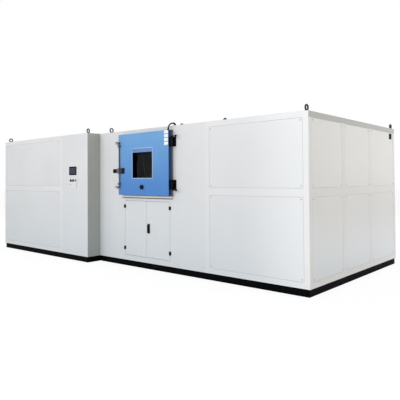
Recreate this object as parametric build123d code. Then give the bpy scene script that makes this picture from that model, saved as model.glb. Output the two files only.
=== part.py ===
from build123d import *
import math
import os

# Millimetres. X runs along the front to the right, Y to the rear, Z up from the floor. While drawing,
# X = 0, Y = 0 is the corner where the machine cabinet's side meets the front of the main body.

# Overall body
main_length = 4183
main_depth = 3043
overall_height = 2300
cabinet_length = 3052
cabinet_step = 274
base_height = 100
base_inset = 17
channel_flange = 48
channel_web = 6
base_bearers = 3

# Frame, sheet and sandwich panels
frame_tube = 80
tube_wall = 3
rail_height = 78
mid_rail_height = 110
mid_rail_above_sill = 22
cabinet_mid_rail_z = 1249
sheet = 3
roof_sheet = 2
floor_plate = 3
panel_thickness = 25
panel_set_back = 1
panel_chamfer = 3
seat_gap = 0.3
plain_front_length = 2509
side_post_1 = 962
side_post_2 = 1920
bays = 3
control_column_length = 813
keeper_post_lead = 8
hinge_post_lead = 18

# Test space behind the blue door
door_centre_x = 1245
door_head = 73
chamber_width = 1000
chamber_height = 820
chamber_depth = 1350
liner = 2
insulation = 88
baffle_y = 1000
baffle_slot = 60
fan_rise = 135
fan_radius = 130
fan_width = 60
fan_blades = 14
fan_shaft_radius = 10
motor_radius = 80
motor_length = 210
coil_depth = 110
coil_height = 330
coil_margin = 45
heater_radius = 8
heater_rows = 3
heater_pitch = 30
stand_tube = 60
shelf_height = 25
shelf_front = 110
shelf_bars = 17

# Blue door
door_width = 1210
door_height = 1020
door_skin_depth = 62
door_sheet = 2
door_edge_radius = 5
gasket_depth = 8
gasket_width = 42
portal_depth = 25
portal_margin = 10
plug_clearance = 10
plug_depth = 53
window_offset = -2
window_width = 488
window_height = 418
window_rise = 276
lamp_height = 73
window_wall = 4
glass = 6
outer_glass_inset = 46
lamp_inset = 8
lamp_depth = 34

# Door hinges
hinge_axis_out = 30
hinge_axis_inset = 35
hinge_height = 150
upper_hinge_drop = 255
lower_hinge_rise = 98
hinge_knuckle = 14
hinge_pin = 8
hinge_plate = 10
hinge_plate_width = 63
strap_plate = 6
strap_reach = 50
pin_handle_reach = 110
pin_handle_radius = 5
pin_ball_radius = 14
running_gap = 0.05
end_gap = 0.4

# Locking bar
bar_inset = 40
bar_stand_off = 17
bar_radius = 8
bar_bottom_rise = 118
bar_top_drop = 130
hook_reach = 165
hook_drop = 66
hook_width = 22
hook_thickness = 14
hook_collar = 7
guide_height = 36
guide_width = 44
lever_rise = 404
lever_reach = 150
lever_height = 34
lever_thickness = 22
hub_reach = 46
hub_height = 44
hub_front = 22
hub_back = 9
bracket_plate = 4
bracket_left = 32
bracket_right = 118
bracket_cover_start = 60
bracket_cover_depth = 18
ear_width = 51
bracket_height = 94
keeper_beside_bar = 192
keeper_width = 64
keeper_cheek = 8
keeper_depth = 62
keeper_play = 3

# Window wiper
wiper_rise = 133
wiper_lean = 14
wiper_shaft = 7
wiper_knob_radius = 38
wiper_knob_depth = 20
wiper_wing = 24
wiper_arm_length = 520
wiper_arm_width = 18
wiper_arm_thickness = 5
wiper_blade_start = 150
wiper_blade_depth = 12
wiper_blade_width = 6

# Drip rail under the door
drip_inset = 10
drip_drop = 55
drip_height = 38
drip_depth = 18

# Service doors
service_left = 700
service_right = 1782
service_bottom = 186
service_head = 43
service_seam_x = 1243
service_gap = 4
service_depth = 25
service_sheet = 2
service_hinge_height = 55
service_hinge_low = 306
service_hinge_high = 1010
service_hinge_plate = 6
service_hinge_width = 22
service_hinge_axis = 16
service_knuckle = 9
service_pin = 4
handle_beside_seam = 54
handle_top = 739
handle_height = 154
handle_width = 43
handle_base = 12
handle_lever_width = 30
handle_lever_depth = 16
handle_pivot_drop = 22
lock_radius = 11
cam_length = 42

# Conduit from the door's top edge to the roof
conduit_diameter = 22
conduit_beside_axis = 68
conduit_gland_height = 22
conduit_gland_radius = 19
conduit_rise = 35
conduit_run = 37.5
conduit_heading = 60
elbow_size = 44
conduit_gap = 0.3

# Operator controls
hmi_left = -563
hmi_width = 231
hmi_bottom = 1552
hmi_height = 158
hmi_bezel = 10
hmi_border = 20
hmi_body_depth = 50
plate_left = -564
plate_width = 237
plate_bottom = 1313
plate_height = 173
plate_depth = 12
switch_x = -500
stop_x = -426
port_x = -355
control_z = 1453
switch_radius = 17
switch_depth = 20
switch_shaft = 5
stop_radius = 18
stop_cap = 16
stop_stand_off = 6
stop_stem = 10
port_width = 40
port_height = 30
port_knuckle = 4
port_pin = 1.6
lock_x = -515
lock_z = 1379
lock_face_radius = 9
lock_face_depth = 4

# Lifting eyes, M24 size
eye_ring_radius = 35
eye_rod_radius = 10
eye_collar_radius = 25
eye_collar_height = 12
eye_corner_inset = 44
eye_inner_x_1 = 1652
eye_inner_y_1 = 421
eye_inner_x_2 = 2599
eye_inner_y_2 = 371
eye_front_left_x = 278
eye_cabinet_right_x = -70
eye_cabinet_front_inset = 66

# Machine cabinet contents
compressor_radius = 130
compressor_length = 520
compressor_foot = 60
compressor_pitch = 900
compressor_x = -2300
compressor_y = 900
receiver_radius = 95
receiver_height = 800
receiver_x = -700
receiver_y = 1500
condenser_depth = 120
shroud_depth = 190
shroud_sheet = 3
condenser_fan_radius = 215
condenser_fan_hub = 55
condenser_fan_blades = 5
condenser_motor_radius = 50
condenser_motor_length = 80
louvre_blades = 11
louvre_rim = 40
plate_thickness = 3
contactor_depth = 75
contactor_height = 90
contactor_rows = 4
contactor_columns = 6

# Small vent at the rear end of the right side
vent_from_rear = 248
vent_from_top = 187
vent_width = 120
vent_height = 95
vent_proud = 1
vent_slats = 5

# Water tank for humidifying, in the service compartment
tank_width = 420
tank_depth = 380
tank_height = 480
tank_y = 620

frame_top = overall_height - roof_sheet
cabinet_front = -cabinet_step
door_centre_z = overall_height - door_head - door_height / 2
door_front = -(portal_depth + gasket_depth + door_skin_depth)
door_back = door_front + door_skin_depth
door_left = door_centre_x - door_width / 2
door_right = door_centre_x + door_width / 2
door_bottom = door_centre_z - door_height / 2
door_top = door_centre_z + door_height / 2
window_x = door_centre_x + window_offset
window_bottom = door_bottom + window_rise
wiper_x = window_x
wiper_z = door_bottom + wiper_rise
hinge_axis_x = door_right + hinge_axis_out
hinge_axis_y = door_front + hinge_axis_inset
upper_hinge_z = door_top - upper_hinge_drop
lower_hinge_z = door_bottom + lower_hinge_rise
bar_x = door_left + bar_inset
bar_y = door_front - bar_stand_off
bar_bottom = door_bottom + bar_bottom_rise
bar_top = door_top - bar_top_drop
lever_z = door_bottom + lever_rise
hub_round = bar_stand_off - bracket_plate - end_gap
keeper_left = bar_x - keeper_beside_bar
keeper_post_x = keeper_left - keeper_post_lead
hinge_post_x = hinge_axis_x - hinge_post_lead
main_mid_rail_z = door_bottom + mid_rail_above_sill
conduit_x = hinge_axis_x - conduit_beside_axis
drip_left = door_left + drip_inset
drip_right = door_right
drip_bottom = door_bottom - drip_drop
service_top = drip_bottom - service_head
handle_x = service_seam_x + handle_beside_seam
vent_y = main_depth - vent_from_rear
vent_z = overall_height - vent_from_top
cavity_x = (door_centre_x - chamber_width / 2, door_centre_x + chamber_width / 2)
cavity_z = (door_centre_z - chamber_height / 2, door_centre_z + chamber_height / 2)
cavity_back = sheet + chamber_depth
plug_x = (cavity_x[0] + plug_clearance, cavity_x[1] - plug_clearance)
plug_z = (cavity_z[0] + plug_clearance, cavity_z[1] - plug_clearance)
plug_back = door_back + plug_depth
fan_z = door_centre_z + fan_rise
front_reach = cabinet_front - plate_depth - stop_stand_off - stop_cap
origin_x = (main_length - cabinet_length) / 2
origin_y = (front_reach + main_depth) / 2

X_AXIS = (1, 0, 0)
Y_AXIS = (0, 1, 0)
Z_AXIS = (0, 0, 1)


def block(x, y, z):
    """A box between a low and a high value on each axis."""
    spans = (x, y, z)
    size = [high - low for low, high in spans]
    middle = [(high + low) / 2 for low, high in spans]
    return Pos(*middle) * Box(*size)


def rod(radius, start, direction, length):
    """A round bar from a start point along a direction."""
    foot = Plane(origin=start, z_dir=direction)
    return foot * Cylinder(radius, length, align=(Align.CENTER, Align.CENTER, Align.MIN))


def around(middle, width):
    """The low and high value of a width about its middle."""
    return (middle - width / 2, middle + width / 2)


def grown(span, by):
    """A low and high value moved apart by a margin, or together by a negative one."""
    return (span[0] - by, span[1] + by)


def tube(x, y, z, run):
    """A rectangular hollow section whose open ends face along the run, 0 for X, 1 for Y and 2 for Z."""
    outer = (x, y, z)
    inner = [span if axis == run else grown(span, -tube_wall) for axis, span in enumerate(outer)]
    return block(*outer) - block(*inner)


def tray(x, y, z, wall, open_face):
    """A box of thin sheet that is open on one face: "back" is the +Y side."""
    inner_y = (y[0] + wall, y[1]) if open_face == "back" else (y[0], y[1] - wall)
    return block(x, y, z) - block(grown(x, -wall), inner_y, grown(z, -wall))


def levels(mid_rail_z):
    """The bottom, middle and top rail of a panelled face, as height spans."""
    bottom = (base_height, base_height + rail_height)
    middle = (mid_rail_z, mid_rail_z + mid_rail_height)
    top = (frame_top - rail_height, frame_top)
    return [bottom, middle, top]


def gaps_between(posts):
    """The clear spans between neighbouring posts, given where each post starts."""
    return [(left + frame_tube, right) for left, right in zip(posts, posts[1:])]


def evenly(first, last):
    """The starts of the posts of equal bays between two end posts."""
    step = (last - first) / bays
    return [first + step * n for n in range(bays + 1)]


main_side_posts = [0, side_post_1, side_post_2, main_depth - frame_tube]
main_rear_posts = evenly(0, main_length - frame_tube)
plain_posts = [0, keeper_post_x, hinge_post_x, plain_front_length]
panelled_posts = [plain_front_length, main_length - frame_tube]
cabinet_right_x = -sheet - frame_tube
cabinet_front_posts = [-cabinet_length, -control_column_length - frame_tube]
cabinet_rear_posts = evenly(-cabinet_length, cabinet_right_x)
cabinet_side_posts = evenly(cabinet_front, main_depth - frame_tube)
main_levels = levels(main_mid_rail_z)
cabinet_levels = levels(cabinet_mid_rail_z)
main_rear_y = (main_depth - frame_tube, main_depth)
plain_y = (sheet, sheet + frame_tube)


def post(x, y):
    """An upright of the frame that starts at a corner."""
    return tube((x, x + frame_tube), (y, y + frame_tube), (base_height, frame_top), 2)


def rails_along_x(posts, y, heights):
    """The rails between posts that stand in a row along X."""
    return [tube(span, y, z, 0) for span in gaps_between(posts) for z in heights]


def rails_along_y(posts, x, heights):
    """The rails between posts that stand in a row along Y."""
    return [tube(x, span, z, 1) for span in gaps_between(posts) for z in heights]


def panel(x, y, z, outer_face):
    """A sandwich panel with its folded outer edges drawn as a chamfer."""
    blank = block(x, y, z)
    ends = {"front": (Axis.Y, 0), "rear": (Axis.Y, -1), "left": (Axis.X, 0), "right": (Axis.X, -1)}
    axis, end = ends[outer_face]
    return chamfer(blank.faces().sort_by(axis)[end].edges(), panel_chamfer)


def panel_spans(posts, heights):
    """The width and height spans of the panels in every opening of a face, bottom row first."""
    rows = [(low[1], high[0]) for low, high in zip(heights, heights[1:])]
    return [(grown(span, -seat_gap), grown(row, -seat_gap)) for span in gaps_between(posts) for row in rows]


def inset_depth(face, inward):
    """Where a panel's thickness lies behind a face; inward is +1 or -1."""
    ends = (face + inward * panel_set_back, face + inward * (panel_set_back + panel_thickness))
    return (min(ends), max(ends))


def channel_x(x, y, z, back):
    """A base channel along X with its web on the back side, -1 for low Y."""
    web_y = (y[0], y[0] + channel_web) if back < 0 else (y[1] - channel_web, y[1])
    hollow_y = (web_y[1], y[1]) if back < 0 else (y[0], web_y[0])
    return block(x, y, z) - block(x, hollow_y, grown(z, -channel_web))


def channel_y(x, y, z, back):
    """A base channel along Y with its web on the back side, -1 for low X."""
    web_x = (x[0], x[0] + channel_web) if back < 0 else (x[1] - channel_web, x[1])
    hollow_x = (web_x[1], x[1]) if back < 0 else (x[0], web_x[0])
    return block(x, y, z) - block(hollow_x, y, grown(z, -channel_web))


def base_of(x, y):
    """The ring of channels and the cross bearers under one body."""
    z = (0, base_height)
    front = (y[0], y[0] + channel_flange)
    rear = (y[1] - channel_flange, y[1])
    between = (front[1], rear[0])
    pieces = [channel_x(x, front, z, -1), channel_x(x, rear, z, 1)]
    pieces.append(channel_y((x[0], x[0] + channel_flange), between, z, -1))
    pieces.append(channel_y((x[1] - channel_flange, x[1]), between, z, 1))
    step = (x[1] - x[0]) / (base_bearers + 1)
    for n in range(base_bearers):
        middle = x[0] + step * (n + 1)
        pieces.append(channel_y(around(middle, channel_flange), between, z, -1))
    return pieces


def base_frame():
    main = base_of((base_inset, main_length - base_inset), (base_inset, main_depth - base_inset))
    cabinet_x = (-cabinet_length + base_inset, -base_inset)
    return main + base_of(cabinet_x, (cabinet_front + base_inset, main_depth - base_inset))


def main_frame():
    ends = [main_levels[0], main_levels[2]]
    right_x = (main_length - frame_tube, main_length)
    pieces = [post(x, sheet) for x in plain_posts[:-1]]
    pieces += [post(x, 0) for x in panelled_posts]
    pieces += [post(main_length - frame_tube, y) for y in main_side_posts[1:]]
    pieces += [post(x, main_depth - frame_tube) for x in main_rear_posts[:-1]]
    pieces += [post(0, y) for y in main_side_posts[1:-1]]
    pieces += rails_along_x(plain_posts, plain_y, ends)
    pieces += rails_along_x(panelled_posts, (0, frame_tube), main_levels)
    pieces += rails_along_x(main_rear_posts, main_rear_y, main_levels)
    pieces += rails_along_y(main_side_posts, right_x, main_levels)
    pieces += rails_along_y([sheet] + main_side_posts[1:], (0, frame_tube), main_levels)
    for x in main_rear_posts[1:-1]:
        front = plain_y[1] if x < plain_front_length else frame_tube
        pieces.append(tube((x, x + frame_tube), (front, main_rear_y[0]), main_levels[2], 1))
    return pieces


def cabinet_frame():
    ends = [cabinet_levels[0], cabinet_levels[2]]
    hidden_front = (cabinet_front + sheet, cabinet_front + sheet + frame_tube)
    corner_posts = [cabinet_front_posts[1], cabinet_right_x]
    right_run = [hidden_front[0], main_depth - frame_tube]
    pieces = [post(x, cabinet_front) for x in cabinet_front_posts]
    pieces.append(post(cabinet_right_x, cabinet_front + sheet))
    pieces += [post(-cabinet_length, y) for y in cabinet_side_posts[1:]]
    pieces += [post(x, main_depth - frame_tube) for x in cabinet_rear_posts[1:]]
    pieces += rails_along_x(cabinet_front_posts, (cabinet_front, cabinet_front + frame_tube), cabinet_levels)
    pieces += rails_along_x(corner_posts, hidden_front, ends)
    pieces += rails_along_x(cabinet_rear_posts, main_rear_y, cabinet_levels)
    left_x = (-cabinet_length, -cabinet_length + frame_tube)
    pieces += rails_along_y(cabinet_side_posts, left_x, cabinet_levels)
    pieces += rails_along_y(right_run, (cabinet_right_x, -sheet), ends)
    for x in cabinet_rear_posts[1:-1]:
        y = (cabinet_front + frame_tube, main_rear_y[0])
        pieces.append(tube((x, x + frame_tube), y, cabinet_levels[2], 1))
    return pieces


def floor_plates():
    z = (base_height, base_height + floor_plate)
    main_x = (frame_tube + seat_gap, main_length - frame_tube - seat_gap)
    main = block(main_x, (plain_y[1] + seat_gap, main_rear_y[0] - seat_gap), z)
    cabinet_x = (-cabinet_length + frame_tube + seat_gap, cabinet_right_x - seat_gap)
    front = cabinet_front + sheet + frame_tube + seat_gap
    return [main, block(cabinet_x, (front, main_rear_y[0] - seat_gap), z)]


def front_sheet():
    plain = block((0, plain_front_length), (0, sheet), (base_height, frame_top))
    through = (-1, sheet + 1)
    plain -= block(grown(cavity_x, liner), through, grown(cavity_z, liner))
    plain -= block((service_left, service_right), through, (service_bottom, service_top))
    return [plain]


def front_panels():
    main_y = inset_depth(0, 1)
    cabinet_y = inset_depth(cabinet_front, 1)
    right = [panel(x, main_y, z, "front") for x, z in panel_spans(panelled_posts, main_levels)]
    left = [panel(x, cabinet_y, z, "front") for x, z in panel_spans(cabinet_front_posts, cabinet_levels)]
    return right + left


def right_side_panels():
    x = inset_depth(main_length, -1)
    pieces = [panel(x, y, z, "right") for y, z in panel_spans(main_side_posts, main_levels)]
    opening = block(grown(x, 1), (vent_y, vent_y + vent_width), (vent_z, vent_z + vent_height))
    pieces[-1] -= opening
    return pieces


def side_vent():
    x = (main_length - panel_set_back - panel_thickness, main_length - panel_set_back + vent_proud)
    y = (vent_y + seat_gap, vent_y + vent_width - seat_gap)
    z = (vent_z + seat_gap, vent_z + vent_height - seat_gap)
    return [louvred(x, y, z, 1, vent_slats, vent_height / 10)]


def louvred(x, y, z, face, slats, rim):
    """A frame with sloping slats across it. face is 0 where it faces along Y and 1 where it faces along X."""
    run, depth = (x, y) if face == 0 else (y, x)
    solid = block(x, y, z)
    clear = (z[1] - z[0] - 2 * rim) / slats
    for n in range(slats):
        low = z[0] + rim + clear * n
        slot = (low + clear / 4, low + clear)
        inner = grown(run, -rim)
        cut_x, cut_y = (inner, grown(depth, 1)) if face == 0 else (grown(depth, 1), inner)
        middle = ((cut_x[0] + cut_x[1]) / 2, (cut_y[0] + cut_y[1]) / 2, (slot[0] + slot[1]) / 2)
        size = (cut_x[1] - cut_x[0], cut_y[1] - cut_y[0], (slot[1] - slot[0]) / 2)
        tilt = Rot(-12, 0, 0) if face == 0 else Rot(0, 12, 0)
        solid -= Pos(*middle) * tilt * Box(*size)
    return solid


def rear_bay():
    """The width and height of the lower middle bay at the cabinet's rear, where the louvres are."""
    return panel_spans(cabinet_rear_posts, cabinet_levels)[2]


def rear_panels():
    y = inset_depth(main_depth, -1)
    spans = panel_spans(cabinet_rear_posts, cabinet_levels)
    spans.remove(rear_bay())
    spans += panel_spans(main_rear_posts, main_levels)
    return [panel(x, y, z, "rear") for x, z in spans]


def rear_louvre():
    x, z = rear_bay()
    return [louvred(x, inset_depth(main_depth, -1), z, 0, louvre_blades, louvre_rim)]


def partition_panels():
    x = inset_depth(0, 1)
    posts = [sheet] + main_side_posts[1:]
    return [panel(x, y, z, "left") for y, z in panel_spans(posts, main_levels)]


def cabinet_left_panels():
    x = inset_depth(-cabinet_length, 1)
    return [panel(x, y, z, "left") for y, z in panel_spans(cabinet_side_posts, cabinet_levels)]


def control_column_panel():
    y = (cabinet_front, cabinet_front + sheet)
    face = block((-control_column_length, 0), y, (base_height, frame_top))
    through = grown(y, 1)
    screen_x, screen_z = hmi_opening()
    face -= block(grown(screen_x, seat_gap), through, grown(screen_z, seat_gap))
    switches_x = (switch_x - stop_radius, port_x + port_width / 2)
    face -= block(switches_x, through, around(control_z, 2 * stop_radius))
    return [face]


def cabinet_return_panel():
    y = (cabinet_front + sheet, 0)
    return [block((-sheet, 0), y, (base_height, frame_top))]


def roof_sheets():
    z = (frame_top, overall_height)
    main = block((0, main_length), (0, main_depth), z)
    return [main, block((-cabinet_length, 0), (cabinet_front, main_depth), z)]


def eye_bolt(x, y, ring_axis):
    """A lifting eye: a forged ring, six-sided in section, on a twelve-sided collar that seats on the roof."""
    centre_z = overall_height + eye_ring_radius + eye_rod_radius
    ring_plane = Plane(origin=(x, y, centre_z), x_dir=Z_AXIS, z_dir=ring_axis)
    across = (Vector(*Z_AXIS).cross(Vector(*ring_axis))).normalized()
    section_plane = Plane(origin=(x, y, centre_z), x_dir=across, z_dir=Z_AXIS)
    section = section_plane * Pos(eye_ring_radius, 0) * Rot(0, 0, 30) * RegularPolygon(eye_rod_radius, 6)
    ring = revolve(section, Axis(ring_plane.origin, ring_plane.z_dir), 360)
    collar = Pos(x, y, overall_height) * extrude(RegularPolygon(eye_collar_radius, 12), eye_collar_height)
    return ring + collar


def eye_places():
    """Where each lifting eye stands, and the way through its ring."""
    right = main_length - eye_corner_inset
    rear = main_depth - eye_corner_inset
    cabinet_left = -cabinet_length + eye_corner_inset + frame_tube
    cabinet_y = cabinet_front + eye_cabinet_front_inset
    return [
        (eye_front_left_x, eye_corner_inset, X_AXIS),
        (right, eye_corner_inset, X_AXIS),
        (eye_inner_x_1, eye_inner_y_1, X_AXIS),
        (eye_inner_x_2, eye_inner_y_2, X_AXIS),
        (eye_front_left_x, rear, X_AXIS),
        (right, rear, X_AXIS),
        (cabinet_left, cabinet_y, X_AXIS),
        (eye_cabinet_right_x, cabinet_y, Y_AXIS),
        (cabinet_left, rear, X_AXIS),
        (eye_cabinet_right_x, rear, Y_AXIS),
    ]


def eye_bolts():
    return [eye_bolt(*place) for place in eye_places()]


def portal_bars():
    """The steel collar round the doorway, as a sill, a head and two jambs."""
    x = grown((door_left, door_right), portal_margin)
    z = grown((door_bottom, door_top), portal_margin - 4)
    y = (-portal_depth, 0)
    sill = block(x, y, (z[0], cavity_z[0]))
    head = block(x, y, (cavity_z[1], z[1]))
    left = block((x[0], cavity_x[0]), y, cavity_z)
    return [sill, head, left, block((cavity_x[1], x[1]), y, cavity_z)]


def insulation_slabs():
    inner_x = grown(cavity_x, liner)
    inner_z = grown(cavity_z, liner)
    outer_x = grown(inner_x, insulation)
    outer_z = grown(inner_z, insulation)
    walls_y = (sheet, cavity_back + liner)
    back_y = (walls_y[1], walls_y[1] + insulation)
    top = block(outer_x, walls_y, (inner_z[1], outer_z[1]))
    bottom = block(outer_x, walls_y, (outer_z[0], inner_z[0]))
    left = block((outer_x[0], inner_x[0]), walls_y, inner_z)
    right = block((inner_x[1], outer_x[1]), walls_y, inner_z)
    back = block(outer_x, back_y, outer_z)
    back -= rod(fan_shaft_radius + 3, (door_centre_x, back_y[0] - 1, fan_z), Y_AXIS, insulation + 2)
    return [top, bottom, left, right, back]


def chamber_liner():
    y = (0, cavity_back + liner)
    shell = tray(grown(cavity_x, liner), y, grown(cavity_z, liner), liner, "front")
    shell -= rod(fan_shaft_radius + 3, (door_centre_x, cavity_back - 1, fan_z), Y_AXIS, liner + 2)
    return [shell]


def air_baffle():
    x = grown(cavity_x, -seat_gap)
    z = grown(cavity_z, -baffle_slot)
    plate = block(x, (baffle_y, baffle_y + liner), z)
    plate -= rod(fan_radius * 0.8, (door_centre_x, baffle_y - 1, fan_z), Y_AXIS, liner + 2)
    return [plate]


def evaporator_coil():
    """A finned block between two end plates, on feet on the chamber's floor."""
    x = grown(cavity_x, -coil_margin)
    y = around((baffle_y + cavity_back) / 2, coil_depth)
    z = (cavity_z[0], cavity_z[0] + coil_height)
    ends = [block((x[0] - liner, x[0]), grown(y, 15), z), block((x[1], x[1] + liner), grown(y, 15), z)]
    core = block(x, y, (z[0] + 30, z[1] - 15))
    return [core] + ends


def heater_elements():
    """Straight heating rods between two brackets that stand on the coil's end plates."""
    x = grown(cavity_x, -coil_margin)
    middle_y = (baffle_y + cavity_back) / 2
    low = cavity_z[0] + coil_height
    bracket_z = (low, low + 40)
    first = middle_y - heater_pitch * (heater_rows - 1) / 2
    pieces = []
    for end in ((x[0] - liner, x[0]), (x[1], x[1] + liner)):
        pieces.append(block(end, around(middle_y, heater_pitch * heater_rows), bracket_z))
    for n in range(heater_rows):
        start = (x[0], first + heater_pitch * n, low + 20)
        pieces.append(rod(heater_radius, start, X_AXIS, x[1] - x[0]))
    return pieces


def circulation_fan():
    """A radial wheel on its shaft: a back plate, an inlet ring and straight blades between them."""
    front = baffle_y + liner + 12
    centre = (door_centre_x, front, fan_z)
    wheel = rod(fan_radius, (door_centre_x, front + fan_width, fan_z), Y_AXIS, 3)
    inlet = rod(fan_radius, centre, Y_AXIS, 3)
    inlet -= rod(fan_radius * 0.7, (door_centre_x, front - 1, fan_z), Y_AXIS, 5)
    hub = rod(fan_shaft_radius * 2.2, (door_centre_x, front + fan_width - 30, fan_z), Y_AXIS, 30)
    wheel += [inlet, hub]
    for n in range(fan_blades):
        turn = Rot(0, 360 / fan_blades * n, 0)
        blade = Rot(0, 25, 0) * Box(fan_radius * 0.26, fan_width + 4, 2.5)
        blade = Pos(fan_radius * 0.84, fan_width / 2, 0) * blade
        wheel += Pos(*centre) * turn * blade
    shaft_start = front + fan_width
    shaft_end = cavity_back + liner + insulation + motor_length / 2
    shaft = rod(fan_shaft_radius, (door_centre_x, shaft_start, fan_z), Y_AXIS, shaft_end - shaft_start)
    return [wheel.solid() + shaft]


def circulation_motor():
    """The fan's motor, flanged to the outside of the insulation, with its shaft bore."""
    start = cavity_back + liner + insulation
    body = rod(motor_radius, (door_centre_x, start + 8, fan_z), Y_AXIS, motor_length)
    flange = rod(motor_radius * 1.25, (door_centre_x, start, fan_z), Y_AXIS, 10)
    box_z = (fan_z + motor_radius - 10, fan_z + motor_radius + 45)
    box = block(around(door_centre_x, 90), (start + 60, start + 150), box_z)
    motor = body + flange + box
    bore_radius = fan_shaft_radius + running_gap
    motor -= rod(bore_radius, (door_centre_x, start - 1, fan_z), Y_AXIS, motor_length / 2 + 3)
    return motor


def chamber_shelf():
    """A lift-out floor grid of round bars in a flat rim."""
    x = grown(cavity_x, -seat_gap)
    y = (shelf_front, baffle_y - 20)
    z = (cavity_z[0], cavity_z[0] + shelf_height)
    rim = block(x, y, z) - block(grown(x, -8), grown(y, -8), grown(z, 1))
    step = (x[1] - x[0]) / (shelf_bars + 1)
    for n in range(shelf_bars):
        middle = x[0] + step * (n + 1)
        rim += block(around(middle, 8), grown(y, -4), (z[1] - 6, z[1]))
    return [rim]


def chamber_stand():
    """Four legs and two bearers under the insulated box."""
    outer_x = grown(cavity_x, liner + insulation)
    bearer_top = cavity_z[0] - liner - insulation
    legs_y = (plain_y[0], cavity_back + liner + insulation - stand_tube)
    pieces = []
    for x in (outer_x[0] - 15, outer_x[1] + 15 - stand_tube):
        width = (x, x + stand_tube)
        for y in legs_y:
            leg_z = (base_height + floor_plate, bearer_top - stand_tube)
            if y == legs_y[0]:
                leg_z = (base_height + rail_height, leg_z[1])
            pieces.append(tube(width, (y, y + stand_tube), leg_z, 2))
        bearer_y = (legs_y[0], legs_y[1] + stand_tube)
        pieces.append(tube(width, bearer_y, (bearer_top - stand_tube, bearer_top), 1))
    return pieces


def drip_rail():
    """A folded rail under the door that throws water clear of the front."""
    x = (drip_left, drip_right)
    z = (drip_bottom, drip_bottom + drip_height)
    rail = block(x, (-drip_depth, 0), z) - block(grown(x, 1), (-drip_depth + 2, -2), (z[0] - 1, z[1] - 2))
    return [rail]


def window_ring():
    """The width and height of the hole through the door for the window and its lamp."""
    return around(window_x, window_width), (window_bottom, window_bottom + window_height + lamp_height)


def door_skin():
    x = (door_left, door_right)
    z = (door_bottom, door_top)
    blank = block(x, (door_front, door_back), z)
    blank = fillet(blank.faces().sort_by(Axis.Y)[0].edges(), door_edge_radius)
    inner_y = (door_front + door_sheet, door_back + 1)
    skin = blank - block(grown(x, -door_sheet), inner_y, grown(z, -door_sheet))
    hole_x, hole_z = window_ring()
    skin -= block(hole_x, (door_front - 1, door_back), hole_z)
    skin -= rod(wiper_shaft + running_gap, (wiper_x, door_front - 1, wiper_z), Y_AXIS, door_sheet + 2)
    return [skin]


def door_insulation():
    inner_x = grown((door_left, door_right), -door_sheet)
    inner_z = grown((door_bottom, door_top), -door_sheet)
    core = block(inner_x, (door_front + door_sheet, door_back - door_sheet), inner_z)
    plug_y = (door_back - door_sheet - 1, plug_back - door_sheet)
    core += block(grown(plug_x, -door_sheet), plug_y, grown(plug_z, -door_sheet))
    hole_x, hole_z = window_ring()
    core -= block(hole_x, (door_front, plug_back), hole_z)
    core -= rod(wiper_shaft + 3, (wiper_x, door_front, wiper_z), Y_AXIS, plug_back - door_front)
    return [core]


def door_liner():
    """The stainless inner face of the door: a flange over the foam and a shallow plug into the doorway."""
    inner_x = grown((door_left, door_right), -door_sheet)
    inner_z = grown((door_bottom, door_top), -door_sheet)
    face = block(inner_x, (door_back - door_sheet, door_back), inner_z)
    face += block(plug_x, (door_back - door_sheet, plug_back), plug_z)
    foam_y = (door_back - door_sheet - 1, plug_back - door_sheet)
    face -= block(grown(plug_x, -door_sheet), foam_y, grown(plug_z, -door_sheet))
    hole_x, hole_z = window_ring()
    face -= block(hole_x, (foam_y[0], plug_back + 1), hole_z)
    face -= rod(wiper_shaft + running_gap, (wiper_x, foam_y[1] - 1, wiper_z), Y_AXIS, door_sheet + 2)
    return [face]


def door_gasket():
    inner_x = grown(plug_x, 2)
    inner_z = grown(plug_z, 2)
    y = (door_back, door_back + gasket_depth - seat_gap)
    ring = block(grown(inner_x, gasket_width), y, grown(inner_z, gasket_width))
    return [ring - block(inner_x, grown(y, 1), inner_z)]


def window_frame():
    """The sleeve through the door, and the lamp housing across its top."""
    hole_x, hole_z = window_ring()
    y = (door_front, plug_back)
    sleeve = block(hole_x, y, hole_z)
    bar_z = (window_bottom + window_height, window_bottom + window_height + window_wall)
    sleeve -= block(grown(hole_x, -window_wall), grown(y, 1), (hole_z[0] + window_wall, bar_z[0]))
    sleeve -= block(grown(hole_x, -window_wall), grown(y, 1), (bar_z[1], hole_z[1] - window_wall))
    lamp_y = (door_front + lamp_inset, door_front + lamp_inset + lamp_depth)
    lamp_z = (bar_z[1], hole_z[1] - window_wall)
    lamp = block(grown(hole_x, -window_wall - seat_gap), lamp_y, grown(lamp_z, -seat_gap))
    return [sleeve, lamp]


def window_panes():
    hole_x, hole_z = window_ring()
    x = grown(hole_x, -window_wall - seat_gap)
    z = grown((hole_z[0] + window_wall, window_bottom + window_height), -seat_gap)
    outer_y = door_front + outer_glass_inset
    outer = block(x, (outer_y, outer_y + glass), z)
    return [outer, block(x, (plug_back - glass, plug_back), z)]


def door_gland():
    """The gland on the door's top edge that the conduit comes out of: a hexagon body under its cap nut."""
    start = (conduit_x, hinge_axis_y, door_top)
    body = extrude(RegularPolygon(conduit_gland_radius, 6), conduit_gland_height * 0.45)
    body += extrude(RegularPolygon(conduit_gland_radius * 0.85, 6), conduit_gland_height)
    return [Pos(*start) * body]


def conduit_points():
    """The conduit's route: up from the door's gland, then over the roof's front edge in equal turns."""
    heading = math.radians(conduit_heading)
    sideways = (math.cos(heading), math.sin(heading))
    point = [conduit_x, hinge_axis_y, door_top + conduit_gland_height + conduit_gap]
    points = [tuple(point)]
    point[2] += conduit_rise
    points.append(tuple(point))
    for turn in (30, 60, 90):
        along = conduit_run * math.sin(math.radians(turn))
        point[0] += along * sideways[0]
        point[1] += along * sideways[1]
        point[2] += conduit_run * math.cos(math.radians(turn))
        points.append(tuple(point))
    return points


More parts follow.
